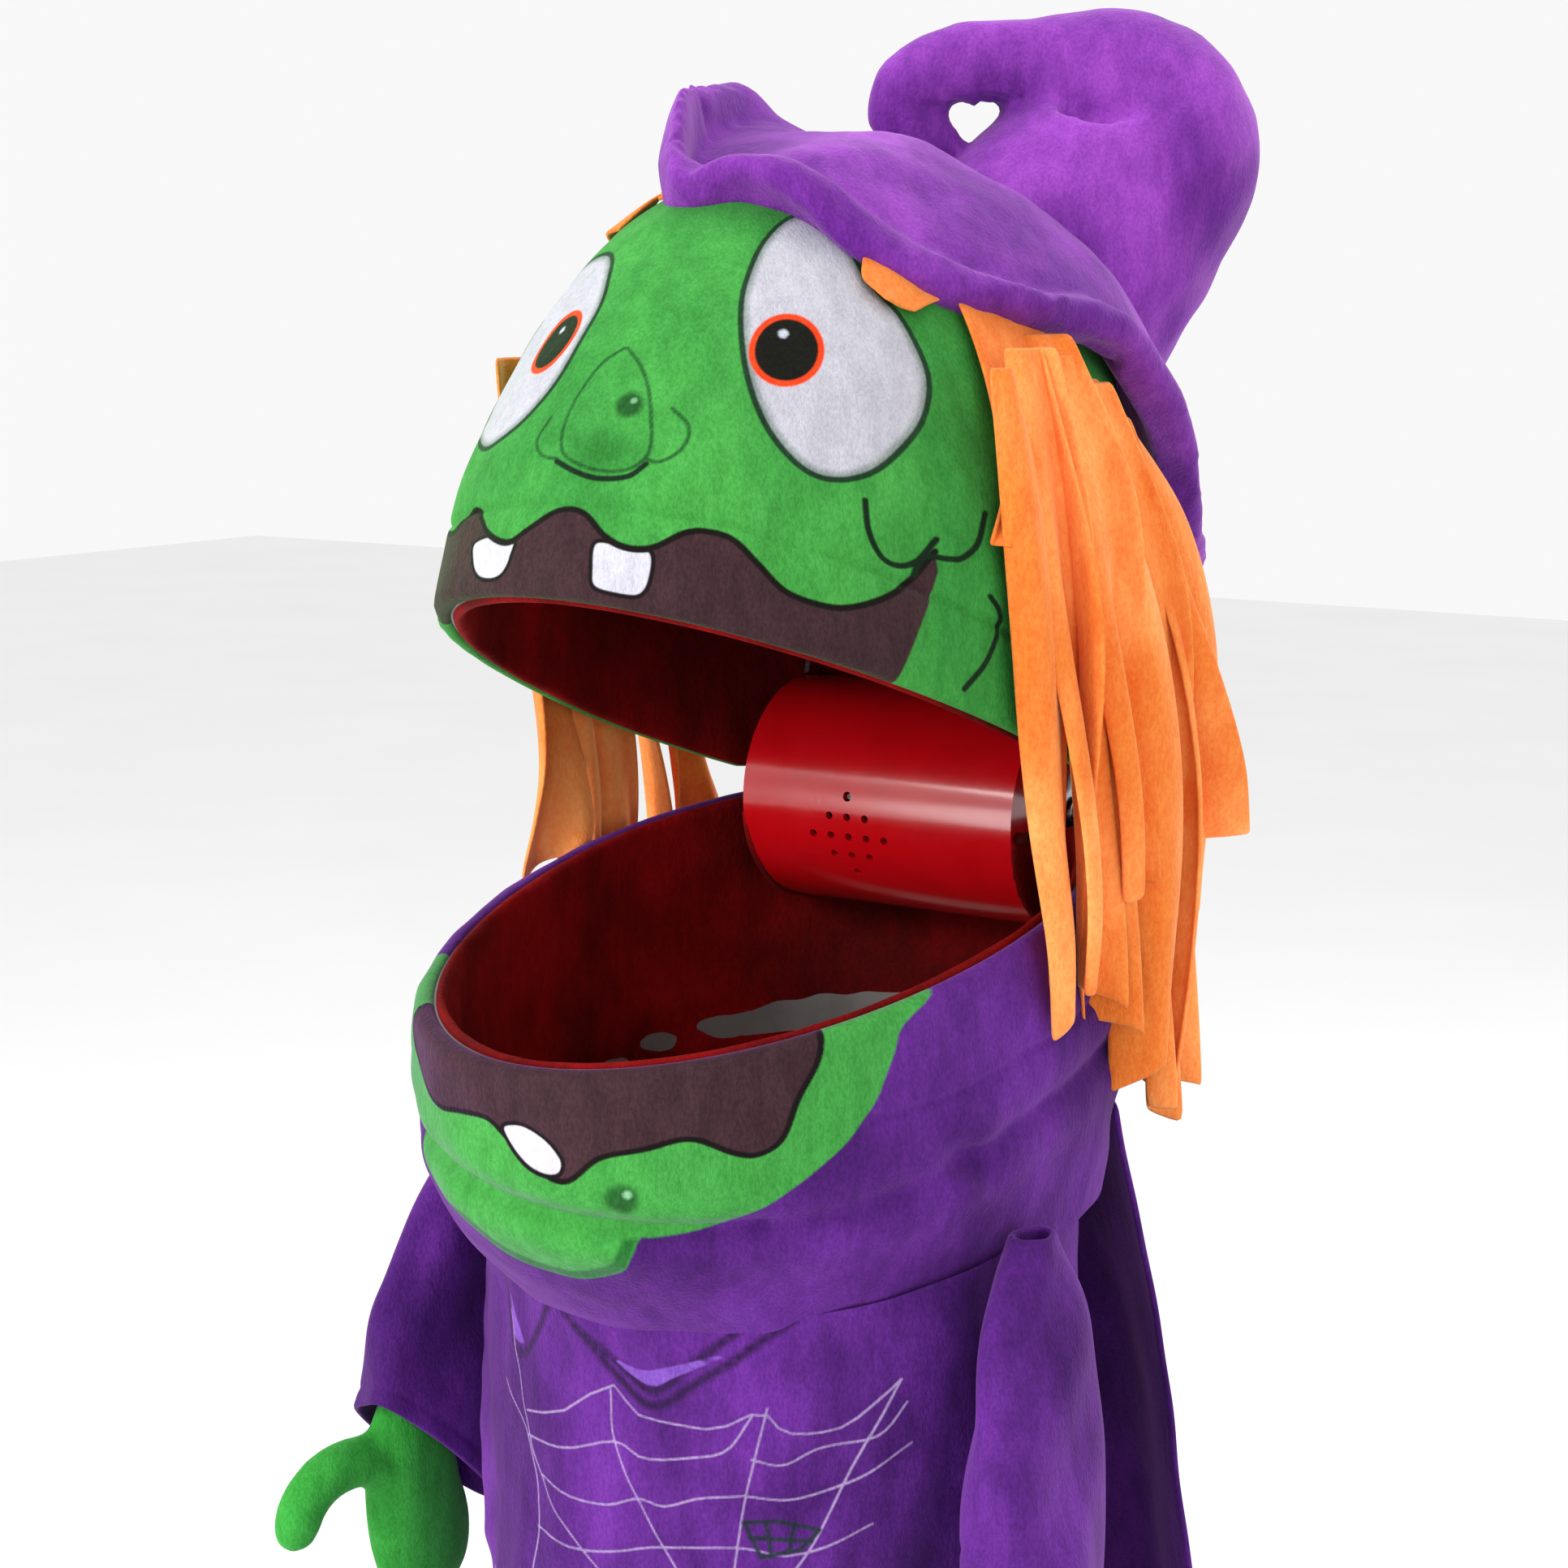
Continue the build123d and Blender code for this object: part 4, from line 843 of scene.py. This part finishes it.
# ------------------------------------------------------------------ hair
ORANGE = plush("orange_fleece", "FFB066", "EE8838", "FFDCB0", (), 0.4, 0.8)


def strand(path, widths, turn=0.0, fold=6.0, seed=0, sign=1):
    """Grid of one fleece strip that hangs along a path, folded across its width and curled at its edges."""
    line = through(path, 34)
    wide = np.interp(np.linspace(0, 1, 34), np.linspace(0, 1, len(widths)), widths)[:, None]
    across = np.linspace(-1, 1, 13)[None, :]
    along = np.linspace(0, 1, 34)[:, None]
    yaw = math.radians(turn) + 0.45 * np.sin(along * 4.5 + seed)
    face = np.stack([np.sin(yaw) * sign, np.cos(yaw), 0 * yaw], -1)
    out = np.stack([np.cos(yaw) * sign, -np.sin(yaw), 0 * yaw], -1)
    depth = fold * (0.35 + 0.85 * along)
    wave = np.cos(across * math.pi * (0.95 + 0.25 * math.sin(seed)) + seed + 1.2 * along) - 0.2
    sway = 2.0 * np.sin(along * 6 + seed * 2) * along
    points = line[:, None, :] + face * (wide * across * (0.5 - 0.07 * np.abs(wave)))[...,
            None] + out * (depth * wave + sway)[..., None]
    points[..., 2] += 7.0 * along**8 * across * math.cos(seed * 1.3) + 2.5 * along**8 * np.cos(across * 2)
    return points


def head_strip(stations, lift, curl, seed):
    """Grid of a strip that lies on the head; stations are (height, from turn, to turn) from its top to its cut end."""
    table = np.array(stations, float)[::-1]
    high, low = table[-1, 0], table[0, 0]
    heights = np.linspace(high, low, 22)[:, None] + 0 * np.zeros((1, 12))
    sides = glide(heights[:, 0], table[:, 0], table[:, 1:])
    across = np.linspace(0, 1, 12)[None, :]
    turns = sides[:, :1] + (sides[:, 1:] - sides[:, :1]) * across
    along = np.linspace(0, 1, 22)[:, None]
    grow = lift + curl * along * (1 + np.cos(across * 5.2 + seed + along * 2)) + 1.5 * (1 - along)
    return tilted(egg_grid(HEAD_RINGS, heights, turns, grow), HEAD_TILT)


def strands(name, grids):
    """One object of several strips, and their area in square metres."""
    verts, faces, count, area = [], [], 0, 0.0
    for grid in grids:
        rows, cols = grid.shape[:2]
        verts.append(grid.reshape(-1, 3))
        faces += [(count + i * cols + j, count + i * cols + j + 1, count + (i + 1) * cols + j + 1,
                count + (i + 1) * cols + j)
                  for i in range(rows - 1) for j in range(cols - 1)]
        count += rows * cols
        down = np.linalg.norm(np.diff(grid, axis=0), axis=-1)[:, :-1]
        wide = np.linalg.norm(np.diff(grid, axis=1), axis=-1)[:-1]
        area += float((down * wide).sum()) / 1e6
    mesh = bpy.data.meshes.new(name)
    mesh.from_pydata((np.concatenate(verts) / 1000).tolist(), [], faces)
    obj = bpy.data.objects.new(name, mesh)
    bpy.context.scene.collection.objects.link(obj)
    return smooth(obj), area


# each strip: its middle line (out, back of the hinge, above the hinge), widths, turn and depth of fold
LEFT_STRIPS = (
    (((106, -132, 172), (112, -129, 133), (117.5, -125, 79), (119, -116, 23), (120, -108, -21), (119, -110,
    -49)), (16, 22, 26, 24, 20), 0, 5),
    (((104, -112, 178), (116, -112, 120), (121, -106, 60), (123, -98, 0), (123, -93, -46)), (20, 28, 30, 30,
    24), 14, 6),
    (((102, -100, 178), (119, -99, 104), (124, -95, 48), (125, -88, -9), (123, -80, -60)), (20, 30, 30, 28,
    24), -12, 7),
    (((100, -82, 175), (120, -76, 102), (125, -68, 45), (126, -61, -14), (124, -55, -80)), (24, 34, 34, 32,
    28), 8, 8),
    (((98, -60, 165), (119, -54, 100), (124, -50, 40), (124, -46, -30), (122, -38, -100)), (24, 32, 32, 30,
    26), 22, 7),
    (((96, -42, 152), (116, -36, 95), (121, -30, 30), (121, -30, -40), (120, -26, -94)), (24, 32, 32, 32, 28),
    -10, 8),
    (((92, -60, 166), (114, -56, 116), (122, -40, 66), (121, -20, 26), (116, -4, -6)), (24, 34, 40, 42, 40),
    32, 6),
    (((88, -34, 160), (108, -24, 118), (116, -14, 70), (118, -8, 20), (115, -6, -34)), (24, 32, 32, 30, 24),
    4, 6),
    (((92, -84, 182), (116, -90, 132), (124, -86, 90), (127, -80, 40), (127, -76, -10)), (24, 32, 32, 26, 20),
    18, 6),
)
LEFT_TUFT = ((146, 54, 77), (136, 57, 77), (110, 62.5, 76.5), (90, 65.6, 76), (72, 67.6, 74.5), (54, 67, 69))
RIGHT_STRIPS = (
    (((106, -128, 172), (116, -112, 110), (119, -90, 32), (120, -86, -5), (120, -89, -26)), (24, 34, 36, 34,
    30), 0, 5),
    (((104, -106, 168), (118, -92, 100), (121, -70, 15), (122, -64, -25), (121, -62, -45)), (22, 30, 28, 26,
    22), 10, 6),
    (((100, -82, 160), (119, -66, 90), (122, -46, 10), (122, -40, -30), (120, -36, -52)), (22, 30, 28, 26,
    22), -10, 6),
    (((98, -60, 150), (118, -44, 80), (121, -20, 5), (120, -12, -35), (119, -8, -52)), (22, 30, 28, 26, 22),
    12, 6),
    (((96, -42, 135), (114, -26, 80), (116, -8, 10), (115, 0, -15), (114, 4, -30)), (20, 28, 26, 24, 20), 0,
    5),
)
BANGS = (((171, -7, 21), (168, -4, 20.5), (164, 1, 20), (159, 8, 18.5)), ((162, 19, 40), (156, 21, 38.5),
        (151, 25, 38), (147, 30, 37)),
         ((151, 38, 60), (145, 39, 59), (138, 39.5, 57), (131, 40, 53), (125, 45, 50)), ((170, -24, -12),
         (164, -23, -14), (158, -21, -15)),
         ((164, -44, -27), (154, -43, -28), (147, -40, -30)), ((152, -64, -46), (140, -62, -47),
         (129, -57, -50)))


def hang(strips, sign):
    grids = []
    for k, (path, widths, turn, fold) in enumerate(strips):
        grids.append(strand([(sign * x, y, z) for x, y, z in path], widths, turn, fold, k * 1.7,
                sign) + HINGE)
    return grids


left = hang(LEFT_STRIPS, 1) + [head_strip(LEFT_TUFT, 3.0, 3.0, 0.4)]
bangs = [head_strip(stations, 1.8, 1.4, k * 2.1) for k, stations in enumerate(BANGS)]
for name, grids, node, long in (("hair_strips_left", left, "hair_left", 0.22), ("hair_strips_right",
        hang(RIGHT_STRIPS, -1), "hair_right", 0.2),
                                ("hair_bang_strips", bangs, "hair_bangs", 0.04)):
    hair, area = strands(name, grids)
    dress_up(hair, "head", "orange_fleece", node, mat=ORANGE, thick=1.6)


# ------------------------------------------------------------------ sleeves, hands and cape
def sleeve(sign):
    """Cone of cloth from the shoulder pinch to a stitched hem that tips up towards the front."""
    share = np.linspace(0, 1, 60)
    angle = np.linspace(0, 2 * math.pi, 72, endpoint=False)
    top, cuff = np.array((sign * 122, -28.0, 480)), np.array((sign * 136, -48.0, 352))
    table = (0, 0.12, 0.5, 1)
    rows = []
    for s in share:
        centre = top + (cuff - top) * s
        a, b = glide(np.array(s), table, ((5, 7), (9, 20), (15, 34), (20, 43)))
        tip = math.radians(42) * step(np.array(s), 0.25, 1.0)
        crumple = 1 + 0.05 * np.sin(3 * angle + 6 * s + sign) + 0.03 * np.sin(5 * angle - 4 * s)
        ahead = b * crumple * np.sin(angle)
        rows.append(centre + np.stack([a * crumple * np.cos(angle), -ahead * math.cos(tip),
                ahead * math.sin(tip)], -1))
    grid = np.array(rows)
    hem = np.exp(-((share - 0.93) / 0.012) ** 2)[:, None]
    centre = grid.mean(1, keepdims=True)
    outward = grid - centre
    outward /= np.linalg.norm(outward, axis=-1, keepdims=True)
    grid += outward * (1.4 * waves(grid, 48, 61) - 1.0 * hem)[..., None]
    return build("sleeve_cloth_" + ("left" if sign > 0 else "right"), grid, wrap=True)


def join(name, parts):
    verts, faces, count = [], [], 0
    for part in parts:
        verts += [tuple(v.co) for v in part.data.vertices]
        faces += [tuple(count + i for i in p.vertices) for p in part.data.polygons]
        count = len(verts)
        bpy.data.objects.remove(part)
    mesh = bpy.data.meshes.new(name)
    mesh.from_pydata(verts, [], faces)
    obj = bpy.data.objects.new(name, mesh)
    bpy.context.scene.collection.objects.link(obj)
    return obj


def hand(sign):
    palm = ((134, -52, 380, 12), (136, -54, 360, 16), (138, -52, 338, 18), (139, -48, 318, 19), (139, -46,
            302, 16), (139, -45, 291, 8))
    thumb = ((138, -64, 350, 10.5), (141, -80, 356, 10), (144, -95, 355, 9.5), (147, -105, 347, 9), (149,
            -108, 336, 8.5), (149, -108, 329, 4))
    parts = []
    for line, flat in ((palm, 0.72), (thumb, 1.0)):
        path = through([(sign * x, y, z) for x, y, z, _ in line], 30)
        radii = through([(r, 0) for *_, r in line], 30)[:, 0]
        tube = swept("part", path, radii, 40)
        middle = path.mean(0) / 1000
        for vert in tube.data.vertices:
            vert.co.x = middle[0] + (vert.co.x - middle[0]) * flat
            if flat < 1:
                vert.co.y = middle[1] + (vert.co.y - middle[1]) * 1.3
        parts.append(tube)
    return puff(join("hand_plush_" + ("left" if sign > 0 else "right"), parts), 3.5, 3.0, 4.0)


GREEN_PLAIN = plush("green_plush", "45AE48", "359A3A", "8FE08A", (), 0.35)
for sign, word in ((1, "left"), (-1, "right")):
    arm = dress_up(sleeve(sign), "body", "purple_plush", "sleeve_" + word, mat=PURPLE, thick=2.5)
    mitten = dress_up(hand(sign), "body", "green_plush", "hand_" + word, mat=GREEN_PLAIN)


def cape():
    share = np.linspace(0, 1, 70)[:, None]
    across = np.linspace(-1, 1, 90)[None, :]
    z = 500 - 438 * share + 6 * across**2 * share
    radius = glide(z, (40, 62, 300, 400, 504), (188, 186, 158, 143, 121))
    turn = np.radians(180 + across * 56)
    radius = radius + (2 + 9 * share) * np.sin(across * 13 + 0.8 * np.sin(across * 4)) * step(share, 0.02,
            0.4)
    grid = np.stack([radius * np.sin(turn) * -1, -radius * np.cos(turn), z], -1)
    grid += 0.8 * waves(grid, 50, 71)[..., None] * np.array((0.3, 1, 0.1))
    return build("cape_cloth", grid)


shawl = dress_up(cape(), "body", "purple_plush", "cape", mat=PURPLE, thick=2.5)


# ------------------------------------------------------------------ floor
def floor():
    grid = np.stack(np.meshgrid(np.linspace(-6000, 6000, 30), np.linspace(-6000, 6000, 30),
            indexing="ij") + [np.zeros((30, 30))], -1)
    obj = build("floor", grid[:, ::-1])
    n = Nodes("pale_floor")
    obj.data.materials.append(n.finish(n.mix(n.noise(3, 2.0), rgb("F4F4F4"), rgb("EEEEEE")), Roughness=0.9))


floor()
